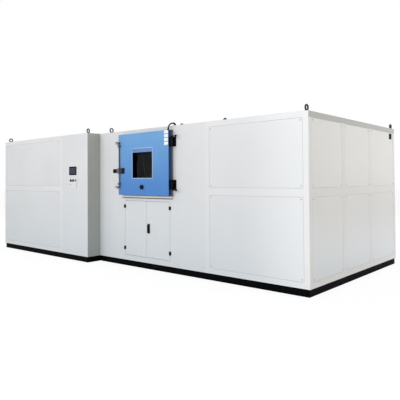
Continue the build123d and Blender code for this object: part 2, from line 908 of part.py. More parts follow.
def conduit_radii(points):
    """The radius of each corner: 0.45 of its shorter run over the tangent of half its turn."""
    radii = []
    for before, at, after in zip(points, points[1:], points[2:]):
        arriving = Vector(*at) - Vector(*before)
        leaving = Vector(*after) - Vector(*at)
        half_turn = math.radians(arriving.get_angle(leaving)) / 2
        radii.append(0.45 * min(arriving.length, leaving.length) / math.tan(half_turn))
    return radii


def door_conduit():
    points = conduit_points()
    radii = conduit_radii(points)
    path = FilletPolyline(*points, radius=radii)
    section = Plane(origin=points[0], z_dir=Z_AXIS) * Circle(conduit_diameter / 2)
    solid = sweep(section, path=path)
    expected = math.pi * conduit_diameter**2 / 4 * path.length
    print("conduit length", round(path.length, 1), "radii", [round(r, 1) for r in radii])
    print("conduit volume over section times length", round(solid.volume / expected, 4))
    return [solid]


def roof_gland():
    """An elbow box on the roof that takes the conduit in level."""
    end = conduit_points()[-1]
    heading = math.radians(conduit_heading)
    centre = (
        end[0] + elbow_size / 2 * math.cos(heading),
        end[1] + elbow_size / 2 * math.sin(heading),
        (overall_height + end[2] + conduit_diameter / 2 + 6) / 2,
    )
    height = 2 * (centre[2] - overall_height)
    return [Pos(*centre) * Rot(0, 0, conduit_heading) * Box(elbow_size, elbow_size, height)]


def chamber_hinge_bracket(low):
    """The fixed half of a door hinge: a wall plate with an ear above and below the door's knuckle."""
    third = hinge_height / 3
    plate_x = (hinge_axis_x - hinge_knuckle - 4, hinge_axis_x - hinge_knuckle - 4 + hinge_plate_width)
    bracket = block(plate_x, (-hinge_plate, 0), (low, low + hinge_height))
    for ear_low in (low, low + 2 * third):
        ear_z = (ear_low, ear_low + third)
        bracket += block(around(hinge_axis_x, 2 * hinge_knuckle), (hinge_axis_y, -hinge_plate), ear_z)
        bracket += rod(hinge_knuckle, (hinge_axis_x, hinge_axis_y, ear_low), Z_AXIS, third)
    bore = rod(hinge_pin + running_gap, (hinge_axis_x, hinge_axis_y, low - 1), Z_AXIS, hinge_height + 2)
    return bracket - bore


def chamber_hinge_strap(low):
    """The moving half: a middle knuckle on a strap that wraps the door's edge on to its front."""
    third = hinge_height / 3
    z = (low + third + end_gap, low + 2 * third - end_gap)
    full_z = (low, low + hinge_height)
    edge_x = (door_right, door_right + strap_plate)
    strap = block(edge_x, (door_front - strap_plate, door_back - 5), full_z)
    strap += block((door_right - strap_reach, edge_x[1]), (door_front - strap_plate, door_front), full_z)
    strap += block((edge_x[1], hinge_axis_x), around(hinge_axis_y, hinge_knuckle * 1.4), z)
    strap += rod(hinge_knuckle, (hinge_axis_x, hinge_axis_y, z[0]), Z_AXIS, z[1] - z[0])
    bore = rod(hinge_pin + running_gap, (hinge_axis_x, hinge_axis_y, low - 1), Z_AXIS, hinge_height + 2)
    return strap - bore


def chamber_hinge_pin(low, handle_at_top):
    """A pull-out pin with a cranked handle that ends in a ball."""
    pin = rod(hinge_pin, (hinge_axis_x, hinge_axis_y, low - 4), Z_AXIS, hinge_height + 8)
    side = 1 if handle_at_top else -1
    end_z = low + hinge_height if handle_at_top else low
    handle_z = end_z + side * (pin_handle_radius + 3)
    pin += rod(hinge_pin, (hinge_axis_x, hinge_axis_y, min(end_z, handle_z)), Z_AXIS, pin_handle_radius + 3)
    handle_length = pin_handle_reach - pin_ball_radius
    pin += rod(pin_handle_radius, (hinge_axis_x, hinge_axis_y, handle_z), X_AXIS, handle_length)
    ball_start = (hinge_axis_x + pin_handle_reach - 2 * pin_ball_radius, hinge_axis_y, handle_z)
    ball = rod(pin_ball_radius, ball_start, X_AXIS, 2 * pin_ball_radius)
    return pin + chamfer(ball.edges(), pin_ball_radius * 0.45)


def service_hinge_spots():
    """The axis and the low end of each small hinge, left leaf first."""
    edges = ((service_left, -1), (service_right, 1))
    return [(x, z, side) for x, side in edges for z in service_hinge_low_ends()]


def service_hinge_low_ends():
    return [middle - service_hinge_height / 2 for middle in (service_hinge_low, service_hinge_high)]


def service_hinge_half(x, low, side, fixed):
    """Half of a small hinge. The fixed half has the outer two knuckles and the leaf's half the middle one."""
    axis_y = -service_hinge_axis
    third = service_hinge_height / 3
    away = side if fixed else -side
    plate_x = sorted((x + away * 1, x + away * service_hinge_width))
    plate_y = (-service_hinge_plate, 0)
    half = block(plate_x, plate_y, (low, low + service_hinge_height))
    knuckles = [(low, low + third), (low + 2 * third, low + 3 * third)]
    if not fixed:
        knuckles = [(low + third + end_gap, low + 2 * third - end_gap)]
    web_x = sorted((x, x + away * service_knuckle))
    for z in knuckles:
        half += block(web_x, (axis_y, -service_hinge_plate), z)
        half += rod(service_knuckle, (x, axis_y, z[0]), Z_AXIS, z[1] - z[0])
    return half - rod(service_pin + running_gap, (x, axis_y, low - 1), Z_AXIS, service_hinge_height + 2)


def hinge_brackets():
    large = [chamber_hinge_bracket(low) for low in (lower_hinge_z, upper_hinge_z)]
    return large + [service_hinge_half(x, z, side, True) for x, z, side in service_hinge_spots()]


def hinge_pins():
    pins = [chamber_hinge_pin(lower_hinge_z, False), chamber_hinge_pin(upper_hinge_z, True)]
    for x, z, side in service_hinge_spots():
        pins.append(rod(service_pin, (x, -service_hinge_axis, z - 2), Z_AXIS, service_hinge_height + 4))
    return pins


def chamber_hinge_straps():
    return [chamber_hinge_strap(low) for low in (lower_hinge_z, upper_hinge_z)]


def hook_levels():
    """The middle height of the lower and the upper hook."""
    return [bar_bottom + hook_thickness / 2, bar_top - hook_thickness / 2]


def hook(middle_z):
    """A cranked arm from the bar, past the door's edge and back towards the wall."""
    elbow = hook_reach * 0.55
    outline = Polyline(
        (0, hook_width / 2),
        (-elbow, hook_width / 2),
        (-hook_reach, hook_drop),
        (-hook_reach, hook_drop - hook_width * 1.2),
        (-elbow + hook_width * 0.3, -hook_width / 2),
        (0, -hook_width / 2),
        close=True,
    )
    arm = extrude(make_face(outline), hook_thickness)
    arm = Pos(bar_x, bar_y, middle_z - hook_thickness / 2) * arm
    low = middle_z - hook_thickness / 2
    arm += rod(bar_radius + hook_collar, (bar_x, bar_y, low), Z_AXIS, hook_thickness)
    return arm - rod(bar_radius, (bar_x, bar_y, middle_z - hook_thickness), Z_AXIS, 2 * hook_thickness)


def locking_bar():
    """The upright rod, its two hooks, and the hub and lever at its middle."""
    shaft = rod(bar_radius, (bar_x, bar_y, bar_bottom), Z_AXIS, bar_top - bar_bottom)
    hub_z = around(lever_z, hub_height)
    hub = block((bar_x - hub_reach, bar_x + hub_round), (bar_y - hub_front, bar_y), hub_z)
    hub = chamfer(hub.faces().sort_by(Axis.Y)[0].edges(), 5)
    hub += block((bar_x - hub_reach, bar_x), (bar_y, bar_y + hub_back), hub_z)
    hub += rod(hub_round, (bar_x, bar_y, hub_z[0]), Z_AXIS, hub_height)
    hub -= rod(bar_radius, (bar_x, bar_y, lever_z - hub_height), Z_AXIS, 2 * hub_height)
    lever_x = (bar_x - lever_reach, bar_x - hub_reach)
    grip = block(lever_x, around(bar_y - 4, lever_thickness), around(lever_z, lever_height))
    grip = fillet(grip.edges().filter_by(Axis.Z), 5)
    return [shaft, hub, grip] + [hook(z) for z in hook_levels()]


def locking_bar_guides():
    """The bearing blocks on the door that the rod turns in, and the bracket behind the hub."""
    pieces = []
    block_y = (bar_y - bar_radius - 8, door_front)
    for middle in (hook_levels()[0] + 60, hook_levels()[1] - 60):
        guide = block(around(bar_x, guide_width), block_y, around(middle, guide_height))
        guide = fillet(guide.edges().filter_by(Axis.Z).sort_by(Axis.Y)[:2], 6)
        pieces.append(guide)
    plate_x = (bar_x - bracket_left, bar_x + bracket_right)
    bracket = block(plate_x, (door_front - bracket_plate, door_front), around(lever_z, bracket_height))
    cover_x = (bar_x + bracket_cover_start, plate_x[1])
    cover = block(cover_x, (door_front - bracket_cover_depth, door_front), around(lever_z, bracket_height))
    bracket += chamfer(cover.faces().sort_by(Axis.Y)[0].edges(), 4)
    for side in (-1, 1):
        ear_middle = lever_z + side * (hub_height / 2 + end_gap + (bracket_height - hub_height) / 4)
        ear_height = (bracket_height - hub_height) / 2 - 2 * end_gap
        bracket += block(around(bar_x, ear_width), block_y, around(ear_middle, ear_height))
    pieces.append(bracket)
    bore = rod(bar_radius + running_gap, (bar_x, bar_y, bar_bottom), Z_AXIS, bar_top - bar_bottom)
    return [piece - bore for piece in pieces]


def locking_keepers():
    """A wall plate with a cheek above and below each hook, and a striker block at the lever's height."""
    x = (keeper_left, keeper_left + keeper_width)
    pieces = []
    for middle in hook_levels():
        inner = hook_thickness / 2 + keeper_play
        keeper = block(x, (-6, 0), around(middle, 2 * (inner + keeper_cheek)))
        for side in (-1, 1):
            cheek_z = sorted((middle + side * inner, middle + side * (inner + keeper_cheek)))
            keeper += block(x, (-keeper_depth, 0), cheek_z)
        pieces.append(keeper)
    striker = block(x, (-keeper_depth * 0.6, 0), around(lever_z, lever_height * 1.4))
    pieces.append(chamfer(striker.faces().sort_by(Axis.Y)[0].edges(), 6))
    return pieces


def wiper_knob():
    """A round knob with a short wing, standing lower right, for the fingers."""
    centre = (wiper_x, door_front - seat_gap, wiper_z)
    base = rod(wiper_knob_radius * 0.8, centre, (0, -1, 0), wiper_knob_depth * 0.45)
    wing = Box(wiper_knob_radius * 2, wiper_knob_depth, wiper_wing)
    wing = fillet(wing.edges().filter_by(Axis.Y), wiper_wing * 0.4)
    base += Pos(wiper_x, centre[1] - wiper_knob_depth / 2, wiper_z) * Rot(0, 35, 0) * wing
    return [base.solid()]


def wiper_arm():
    """The shaft through the door, with the arm and its rubber blade behind the inner glass."""
    arm_y = plug_back + wiper_blade_depth + seat_gap
    shaft_start = door_front - seat_gap
    shaft_length = arm_y + wiper_arm_thickness + 4 - shaft_start
    shaft = rod(wiper_shaft, (wiper_x, shaft_start, wiper_z), Y_AXIS, shaft_length)
    lean = Pos(wiper_x, 0, wiper_z) * Rot(0, -wiper_lean, 0)
    arm_z = (wiper_shaft, wiper_arm_length)
    arm = block(around(0, wiper_arm_width), (arm_y, arm_y + wiper_arm_thickness), arm_z)
    boss = rod(wiper_arm_width * 0.8, (0, arm_y, 0), Y_AXIS, wiper_arm_thickness)
    carrier = lean * (arm + boss)
    carrier -= rod(wiper_shaft, (wiper_x, arm_y - 1, wiper_z), Y_AXIS, wiper_arm_thickness + 2)
    blade_y = (plug_back + seat_gap, arm_y)
    blade = lean * block(around(0, wiper_blade_width), blade_y, (wiper_blade_start, wiper_arm_length))
    return [shaft, carrier, blade]


def service_leaf(x, side):
    """One service door: a folded pan with its two small hinge leaves."""
    z = (service_bottom + service_gap, service_top - service_gap)
    leaf = tray(x, (0, service_depth), z, service_sheet, "back")
    hinge_x = service_left if side < 0 else service_right
    halves = [service_hinge_half(hinge_x, low, side, False) for low in service_hinge_low_ends()]
    return [leaf] + halves


def service_door_left():
    return service_leaf((service_left + service_gap, service_seam_x - service_gap / 2), -1)


def handle_pivot_z():
    return handle_top - handle_pivot_drop


def service_door_right():
    leaf, *halves = service_leaf((service_seam_x + service_gap / 2, service_right - service_gap), 1)
    leaf -= rod(lock_radius + 1, (handle_x, -1, handle_pivot_z()), Y_AXIS, service_sheet + 2)
    return [leaf] + halves


def swing_handle_base():
    x = around(handle_x, handle_width)
    base = block(x, (-handle_base, 0), (handle_top - handle_height, handle_top))
    base = fillet(base.edges().filter_by(Axis.Y), 10)
    bore_start = (handle_x, -handle_base - 1, handle_pivot_z())
    base -= rod(lock_radius + running_gap, bore_start, Y_AXIS, handle_base + 2)
    return [base]


def swing_handle_lock():
    """The turning barrel with its fork in front and its short cam behind the door."""
    z = handle_pivot_z()
    front = -handle_base - handle_lever_depth
    barrel_length = handle_base + service_sheet + 8
    barrel = rod(lock_radius, (handle_x, -handle_base - seat_gap, z), Y_AXIS, barrel_length)
    for side in (-1, 1):
        outer = handle_x + side * handle_lever_width / 2
        cheek = sorted((outer - side * 5, outer))
        barrel += block(cheek, (front, -handle_base - seat_gap), around(z, 18))
    foot_y = (-handle_base - 3, -handle_base - seat_gap)
    barrel += block(around(handle_x, handle_lever_width), foot_y, around(z, 18))
    cam_y = (service_sheet + 3, service_sheet + 7)
    cam = block((handle_x - cam_length, handle_x), cam_y, around(z, 18))
    pin = rod(2.5, (handle_x - handle_lever_width / 2, front + 7, z), X_AXIS, handle_lever_width)
    return [(barrel + cam + pin).solid()]


def swing_handle_lever():
    """The lever that folds flat on the base and lifts about the pin in the fork."""
    z = handle_pivot_z()
    y = (-handle_base - handle_lever_depth, -handle_base - 4)
    low = handle_top - handle_height + 6
    inner = handle_lever_width - 10 - 2 * end_gap
    lever = block(around(handle_x, handle_lever_width), y, (low, z - 14))
    lever = fillet(lever.edges().filter_by(Axis.Y), 5)
    lever += block(around(handle_x, inner), y, (z - 20, z))
    lever += rod(5, (handle_x - inner / 2, y[0] + 7, z), X_AXIS, inner)
    bore_start = (handle_x - handle_lever_width, y[0] + 7, z)
    lever -= rod(2.5 + running_gap, bore_start, X_AXIS, 2 * handle_lever_width)
    return [lever.solid()]


def hmi_opening():
    """The width and height of the screen housing's body behind the panel."""
    x = grown((hmi_left, hmi_left + hmi_width), -8)
    return x, grown((hmi_bottom, hmi_bottom + hmi_height), -8)


def screen_spans():
    x = grown((hmi_left, hmi_left + hmi_width), -hmi_border)
    return x, grown((hmi_bottom, hmi_bottom + hmi_height), -hmi_border)


def hmi_housing():
    x, z = hmi_opening()
    y = (cabinet_front - hmi_bezel, cabinet_front)
    bezel = block((hmi_left, hmi_left + hmi_width), y, (hmi_bottom, hmi_bottom + hmi_height))
    bezel = fillet(bezel.faces().sort_by(Axis.Y)[0].edges(), 3)
    screen_x, screen_z = screen_spans()
    bezel += block(x, (cabinet_front, cabinet_front + hmi_body_depth), z)
    bezel -= block(screen_x, (y[0] - 1, y[0] + 4), screen_z)
    return [bezel]


def hmi_screen():
    x, z = screen_spans()
    front = cabinet_front - hmi_bezel
    return [block(grown(x, -seat_gap), (front + 1.5, front + 4), grown(z, -seat_gap))]


def control_plate():
    """The raised plate with the bores of the switch and the button, the port's ears and pin, and a lock."""
    y = (cabinet_front - plate_depth, cabinet_front)
    plate = block((plate_left, plate_left + plate_width), y, (plate_bottom, plate_bottom + plate_height))
    plate = fillet(plate.faces().sort_by(Axis.Y)[0].edges(), 3)
    through = plate_depth + 2
    plate -= rod(switch_shaft + running_gap, (switch_x, y[0] - 1, control_z), Y_AXIS, through)
    plate -= rod(stop_stem + running_gap, (stop_x, y[0] - 1, control_z), Y_AXIS, through)
    socket_z = around(control_z, port_height - 12)
    plate -= block(around(port_x, port_width - 12), (y[0] - 1, y[0] + 8), socket_z)
    pivot_z = control_z + port_height / 2
    for side in (-1, 1):
        ear_x = sorted((port_x + side * port_width / 2, port_x + side * (port_width / 2 - 5)))
        plate += block(ear_x, (y[0] - 2 * port_knuckle, y[0]), around(pivot_z, 2 * port_knuckle))
    pin_start = (port_x - port_width / 2, y[0] - port_knuckle - 0.5, pivot_z)
    plate += rod(port_pin, pin_start, X_AXIS, port_width)
    lock = rod(lock_face_radius, (lock_x, y[0] - lock_face_depth, lock_z), Y_AXIS, lock_face_depth)
    return [plate, lock]


def power_switch():
    """A rotary switch: a round skirt with a grip bar, on its shaft."""
    front = cabinet_front - plate_depth - seat_gap
    skirt = rod(switch_radius, (switch_x, front, control_z), (0, -1, 0), switch_depth * 0.4)
    grip_z = around(control_z, 2 * switch_radius - 2)
    skirt += block(around(switch_x, 9), (front - switch_depth, front), grip_z)
    return [skirt + rod(switch_shaft, (switch_x, front, control_z), Y_AXIS, plate_depth)]


def stop_button():
    """A mushroom head on a stem that slides in the plate."""
    cap_back = cabinet_front - plate_depth - stop_stand_off
    cap = rod(stop_radius, (stop_x, cap_back, control_z), (0, -1, 0), stop_cap)
    cap = chamfer(cap.faces().sort_by(Axis.Y)[0].edges(), 6)
    return [cap + rod(stop_stem, (stop_x, cap_back - 1, control_z), Y_AXIS, stop_stand_off + plate_depth)]


def port_cover():
    """A flap over the data port, hung on a pin at its top edge."""
    pivot_y = cabinet_front - plate_depth - port_knuckle - 0.5
    pivot_z = control_z + port_height / 2
    inner = port_width - 10 - 2 * end_gap
    flap_y = (pivot_y - 2, pivot_y + 2)
    flap = block(around(port_x, inner), flap_y, (control_z - port_height / 2, pivot_z))
    flap += rod(port_knuckle - 0.5, (port_x - inner / 2, pivot_y, pivot_z), X_AXIS, inner)
    bore_start = (port_x - port_width, pivot_y, pivot_z)
    return [flap - rod(port_pin + running_gap, bore_start, X_AXIS, 2 * port_width)]


def compressor(x):
    """A semi-hermetic piston compressor: barrel, crankcase with two heads, terminal box and feet."""
    floor = base_height + floor_plate
    axis_z = floor + compressor_foot + compressor_radius
    start = (x - compressor_length / 2, compressor_y, axis_z)
    body = rod(compressor_radius, start, X_AXIS, compressor_length)
    joint_start = (start[0] + compressor_length * 0.45, compressor_y, axis_z)
    body += rod(compressor_radius * 1.12, joint_start, X_AXIS, 26)
    for lean in (-38, 38):
        head = Box(compressor_length * 0.36, compressor_radius * 0.9, compressor_radius * 0.8)
        leaning = Rot(lean, 0, 0) * Pos(0, 0, compressor_radius) * head
        body += Pos(x - compressor_length * 0.24, compressor_y, axis_z) * leaning
    box_z = (axis_z + compressor_radius * 0.6, axis_z + compressor_radius * 1.5)
    body += block(around(x + compressor_length * 0.3, 130), around(compressor_y, 120), box_z)
    for foot_x in (x - compressor_length * 0.35, x + compressor_length * 0.35):
        foot_z = (floor, axis_z - compressor_radius * 0.7)
        body += block(around(foot_x, 60), around(compressor_y, compressor_radius * 1.7), foot_z)
    return body.solid()


def compressors():
    return [compressor(compressor_x), compressor(compressor_x + compressor_pitch)]


def liquid_receiver():
    """An upright pressure vessel with drawn-in ends on a skirt."""
    floor = base_height + floor_plate
    vessel = rod(receiver_radius, (receiver_x, receiver_y, floor + 80), Z_AXIS, receiver_height)
    vessel = chamfer(vessel.edges(), receiver_radius * 0.45)
    skirt = rod(receiver_radius * 0.8, (receiver_x, receiver_y, floor), Z_AXIS, 130)
    return [vessel + skirt]


def condenser_space():
    """The width and height of the condenser behind the rear louvres."""
    x, z = rear_bay()
    return grown(x, -10), (base_height + floor_plate, z[1] - 20)


def condenser_fan_heights():
    x, z = condenser_space()
    quarter = (z[1] - z[0]) / 4
    return [z[0] + quarter, z[0] + 3 * quarter]


def condenser_y():
    """Where the coil starts, where the shroud starts, and where the shroud ends."""
    end = main_depth - frame_tube - 20
    return end - shroud_depth - condenser_depth, end - shroud_depth, end


def condenser():
    """The finned coil, and the shroud behind it with a round outlet and a motor bar for each fan."""
    x, z = condenser_space()
    coil_y, shroud_y, end_y = condenser_y()
    coil = block(x, (coil_y, shroud_y), z)
    shroud = block(x, (shroud_y, end_y), z)
    shroud -= block(grown(x, -shroud_sheet), (shroud_y - 1, end_y - shroud_sheet), grown(z, -shroud_sheet))
    middle = (x[0] + x[1]) / 2
    for height in condenser_fan_heights():
        shroud -= rod(condenser_fan_radius + 8, (middle, shroud_y, height), Y_AXIS, shroud_depth + 1)
        shroud += block(x, (shroud_y, shroud_y + 5), around(height, 40))
    return [coil, shroud]


def fan_motors():
    """The chamber fan's motor, then the two condenser fan motors on their bars."""
    x, z = condenser_space()
    start = condenser_y()[1] + 5
    middle = (x[0] + x[1]) / 2
    motors = [circulation_motor()]
    for height in condenser_fan_heights():
        motor = rod(condenser_motor_radius, (middle, start, height), Y_AXIS, condenser_motor_length)
        bore = rod(8 + running_gap, (middle, start + condenser_motor_length - 30, height), Y_AXIS, 31)
        motors.append(motor - bore)
    return motors


def condenser_fan(height):
    """An axial fan: a hub on its shaft with pitched blades."""
    x, z = condenser_space()
    middle = (x[0] + x[1]) / 2
    motor_end = condenser_y()[1] + 5 + condenser_motor_length
    start = motor_end + 4
    hub_length = 60
    fan = rod(condenser_fan_hub, (middle, start, height), Y_AXIS, hub_length)
    fan += rod(8, (middle, motor_end - 29, height), Y_AXIS, 35)
    blade_length = condenser_fan_radius - condenser_fan_hub + 6
    for n in range(condenser_fan_blades):
        blade = Pos(condenser_fan_hub - 6 + blade_length / 2, hub_length / 2, 0) * Rot(32, 0, 0)
        blade *= Box(blade_length, 3, 88)
        fan += Pos(middle, start, height) * Rot(0, 360 / condenser_fan_blades * n, 0) * blade
    return [fan.solid()]


def electrical_plate():
    """The mounting plate behind the control column, with rows of switchgear on its rear face."""
    y = (cabinet_front + sheet + frame_tube, cabinet_front + sheet + frame_tube + plate_thickness)
    x = (-control_column_length - frame_tube / 2, cabinet_right_x + frame_tube / 2)
    z = (cabinet_levels[0][1] + 100, cabinet_levels[2][0] - 60)
    pieces = [block(x, y, z)]
    row_pitch = (z[1] - z[0]) / contactor_rows
    column_pitch = (x[1] - x[0] - 120) / contactor_columns
    for row in range(contactor_rows):
        low = z[0] + row_pitch * (row + 0.4)
        for column in range(contactor_columns):
            left = x[0] + 60 + column_pitch * column
            gear_x = (left + 6, left + column_pitch - 6)
            pieces.append(block(gear_x, (y[1], y[1] + contactor_depth), (low, low + contactor_height)))
    return pieces


def water_tank():
    """The humidifier's tank with its lid, on the floor at the back of the service compartment."""
    floor = base_height + floor_plate
    x = around(door_centre_x, tank_width)
    y = (tank_y, tank_y + tank_depth)
    tank = fillet(block(x, y, (floor, floor + tank_height)).edges().filter_by(Axis.Z), 30)
    lid = rod(70, (door_centre_x, tank_y + tank_depth / 2, floor + tank_height), Z_AXIS, 25)
    return [tank + lid]


fan_heights = condenser_fan_heights()
nodes = {
    "base_frame": base_frame(),
    "main_frame": main_frame(),
    "cabinet_frame": cabinet_frame(),
    "floor_plates": floor_plates(),
    "front_sheet": front_sheet(),
    "front_panels": front_panels(),
    "right_side_panels": right_side_panels(),
    "side_vent": side_vent(),
    "rear_panels": rear_panels(),
    "rear_louvre": rear_louvre(),
    "partition_panels": partition_panels(),
    "cabinet_left_panels": cabinet_left_panels(),
    "control_column_panel": control_column_panel(),
    "cabinet_return_panel": cabinet_return_panel(),
    "roof_sheets": roof_sheets(),
    "eye_bolts": eye_bolts(),
    "door_portal": portal_bars(),
    "chamber_insulation": insulation_slabs(),
    "chamber_liner": chamber_liner(),
    "air_baffle": air_baffle(),
    "conditioning_coils": evaporator_coil() + heater_elements(),
    "circulation_fan": circulation_fan(),
    "fan_motors": fan_motors(),
    "chamber_shelf": chamber_shelf(),
    "chamber_stand": chamber_stand(),
    "drip_rail": drip_rail(),
    "door_skin": door_skin(),
    "door_insulation": door_insulation(),
    "door_liner": door_liner(),
    "door_gasket": door_gasket(),
    "window_frame": window_frame(),
    "window_panes": window_panes(),
    "door_gland": door_gland(),
    "door_conduit": door_conduit(),
    "roof_gland": roof_gland(),
    "hinge_brackets": hinge_brackets(),
    "hinge_pins": hinge_pins(),
    "chamber_hinge_straps": chamber_hinge_straps(),
    "locking_bar": locking_bar(),
    "locking_bar_guides": locking_bar_guides(),
    "locking_keepers": locking_keepers(),
    "wiper_knob": wiper_knob(),
    "wiper_arm": wiper_arm(),
    "service_door_left": service_door_left(),
    "service_door_right": service_door_right(),
    "swing_handle_base": swing_handle_base(),
    "swing_handle_lock": swing_handle_lock(),
    "swing_handle_lever": swing_handle_lever(),
    "hmi_housing": hmi_housing(),
    "hmi_screen": hmi_screen(),
    "control_plate": control_plate(),
    "power_switch": power_switch(),
    "stop_button": stop_button(),
    "port_cover": port_cover(),
    "refrigeration_set": compressors() + liquid_receiver(),
    "condenser": condenser(),
    "condenser_fan_lower": condenser_fan(fan_heights[0]),
    "condenser_fan_upper": condenser_fan(fan_heights[1]),
    "electrical_plate": electrical_plate(),
    "water_tank": water_tank(),
}

# The finished part stands with its origin at the middle of its footprint.
os.makedirs("parts", exist_ok=True)
to_origin = Location((-origin_x, -origin_y, 0))
for name, pieces in nodes.items():
    solids = [solid.moved(to_origin) for piece in pieces for solid in piece.solids()]
    whole = solids[0] if len(solids) == 1 else Compound(solids)
    export_step(whole, f"parts/{name}.step")
print(len(nodes), "nodes")
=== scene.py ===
"""The looks of a walk-in environmental test chamber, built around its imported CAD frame, in metres."""

import logging
import math
from dataclasses import dataclass, replace
from enum import Enum
from functools import cache

import bpy
import numpy as np
from mathutils import Matrix, Vector


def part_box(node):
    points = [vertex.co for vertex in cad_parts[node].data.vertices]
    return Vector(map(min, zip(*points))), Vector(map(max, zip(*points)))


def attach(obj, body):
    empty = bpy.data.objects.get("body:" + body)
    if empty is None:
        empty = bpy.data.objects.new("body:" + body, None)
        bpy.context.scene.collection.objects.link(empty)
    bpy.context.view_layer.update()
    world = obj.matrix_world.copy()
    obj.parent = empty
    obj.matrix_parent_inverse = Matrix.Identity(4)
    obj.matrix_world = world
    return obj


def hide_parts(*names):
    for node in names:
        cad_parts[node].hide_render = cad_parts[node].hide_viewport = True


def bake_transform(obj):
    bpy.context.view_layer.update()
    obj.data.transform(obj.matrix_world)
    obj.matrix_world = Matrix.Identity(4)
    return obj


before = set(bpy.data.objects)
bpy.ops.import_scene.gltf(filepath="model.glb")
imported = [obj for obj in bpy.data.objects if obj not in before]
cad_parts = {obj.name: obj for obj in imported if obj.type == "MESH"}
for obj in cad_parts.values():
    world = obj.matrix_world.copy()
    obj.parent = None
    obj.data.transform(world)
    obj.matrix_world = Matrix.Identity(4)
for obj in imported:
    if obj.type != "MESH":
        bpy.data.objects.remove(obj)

log = logging.getLogger("test_chamber")

MM = 0.001
TAU = 2 * math.pi

Point = tuple[float, float, float]
Tree = bpy.types.NodeTree
Socket = bpy.types.NodeSocket

# Finishes

# Where a noise's values mostly lie, for a patch's colour and for its gloss, and how far the gloss drifts on
# paint and on glass.
COLOUR_NOISE = (0.35, 0.65)
GLOSS_NOISE = (0.3, 0.7)
GLOSS_DRIFT = (0.9, 1.1)
DUST_DRIFT = (0.5, 1.8)
# How many finer octaves each pattern has.
PATCH_DETAIL, CAST_DETAIL, PLAIN_DETAIL, DUST_DETAIL = 3.0, 4.0, 2.0, 5.0
# Hair lines are fifty times as long along X as they are wide.
HAIR_LINES = (0.02, 1.0, 1.0)
# A wave texture of this scale repeats once a metre.
WAVE_PER_METRE = TAU / 20


class Relief(Enum):
    """The fine structure that a finish has in its surface."""

    PEEL = "the soft waves of a sprayed or baked powder coat"
    BRUSHED = "long hair lines left by a belt"
    CAST = "the pebbled grain of a casting or a moulding"
    FINS = "thin plates side by side"


class Axis(Enum):
    """The three axes of the row frame."""

    X = 0
    Y = 1
    Z = 2


@dataclass(frozen=True)
class Limit:
    """A half space: the points above, or below, a place on one axis."""

    axis: Axis
    at: float
    above: bool = True


@dataclass(frozen=True)
class Inlay:
    """A second finish in one part of a piece, where all its limits hold."""

    colour: str
    roughness: float
    metallic: float
    limits: tuple[Limit, ...]


@dataclass(frozen=True)
class Fade:
    """A slow change to this colour along an axis, full at one place and starting from none at another."""

    colour: str
    full: float
    none: float
    axis: Axis = Axis.Z


def linear(colour: str) -> tuple[float, float, float, float]:
    """Turns an sRGB hex colour to linear light.

    Args:
        colour: Six hex digits with a leading #.

    Returns:
        Red, green, blue and alpha in linear light.
    """
    parts = [int(colour[i : i + 2], 16) / 255 for i in (1, 3, 5)]
    bent = [c / 12.92 if c <= 0.04045 else ((c + 0.055) / 1.055) ** 2.4 for c in parts]
    return (bent[0], bent[1], bent[2], 1.0)


def add_node(tree: Tree, kind: str, values: dict | None = None, **settings: object) -> bpy.types.Node:
    """Adds a shader node with its settings, its fixed values and its links.

    Args:
        tree: The material's node tree.
        kind: The node's class name.
        values: What goes into each input, by its name or number: a socket is linked and a value is set.
        **settings: Attributes of the node itself.

    Returns:
        The new node.
    """
    node = tree.nodes.new(kind)
    for key, value in settings.items():
        setattr(node, key, value)
    for key, value in (values or {}).items():
        if isinstance(value, Socket):
            tree.links.new(value, node.inputs[key])
        else:
            node.inputs[key].default_value = value
    return node


def empty_tree(owner: bpy.types.Material | bpy.types.World) -> Tree:
    """Clears the shader nodes of a material or a world.

    Args:
        owner: The material or the world.

    Returns:
        Its empty node tree.
    """
    owner.use_nodes = True
    owner.node_tree.nodes.clear()
    return owner.node_tree


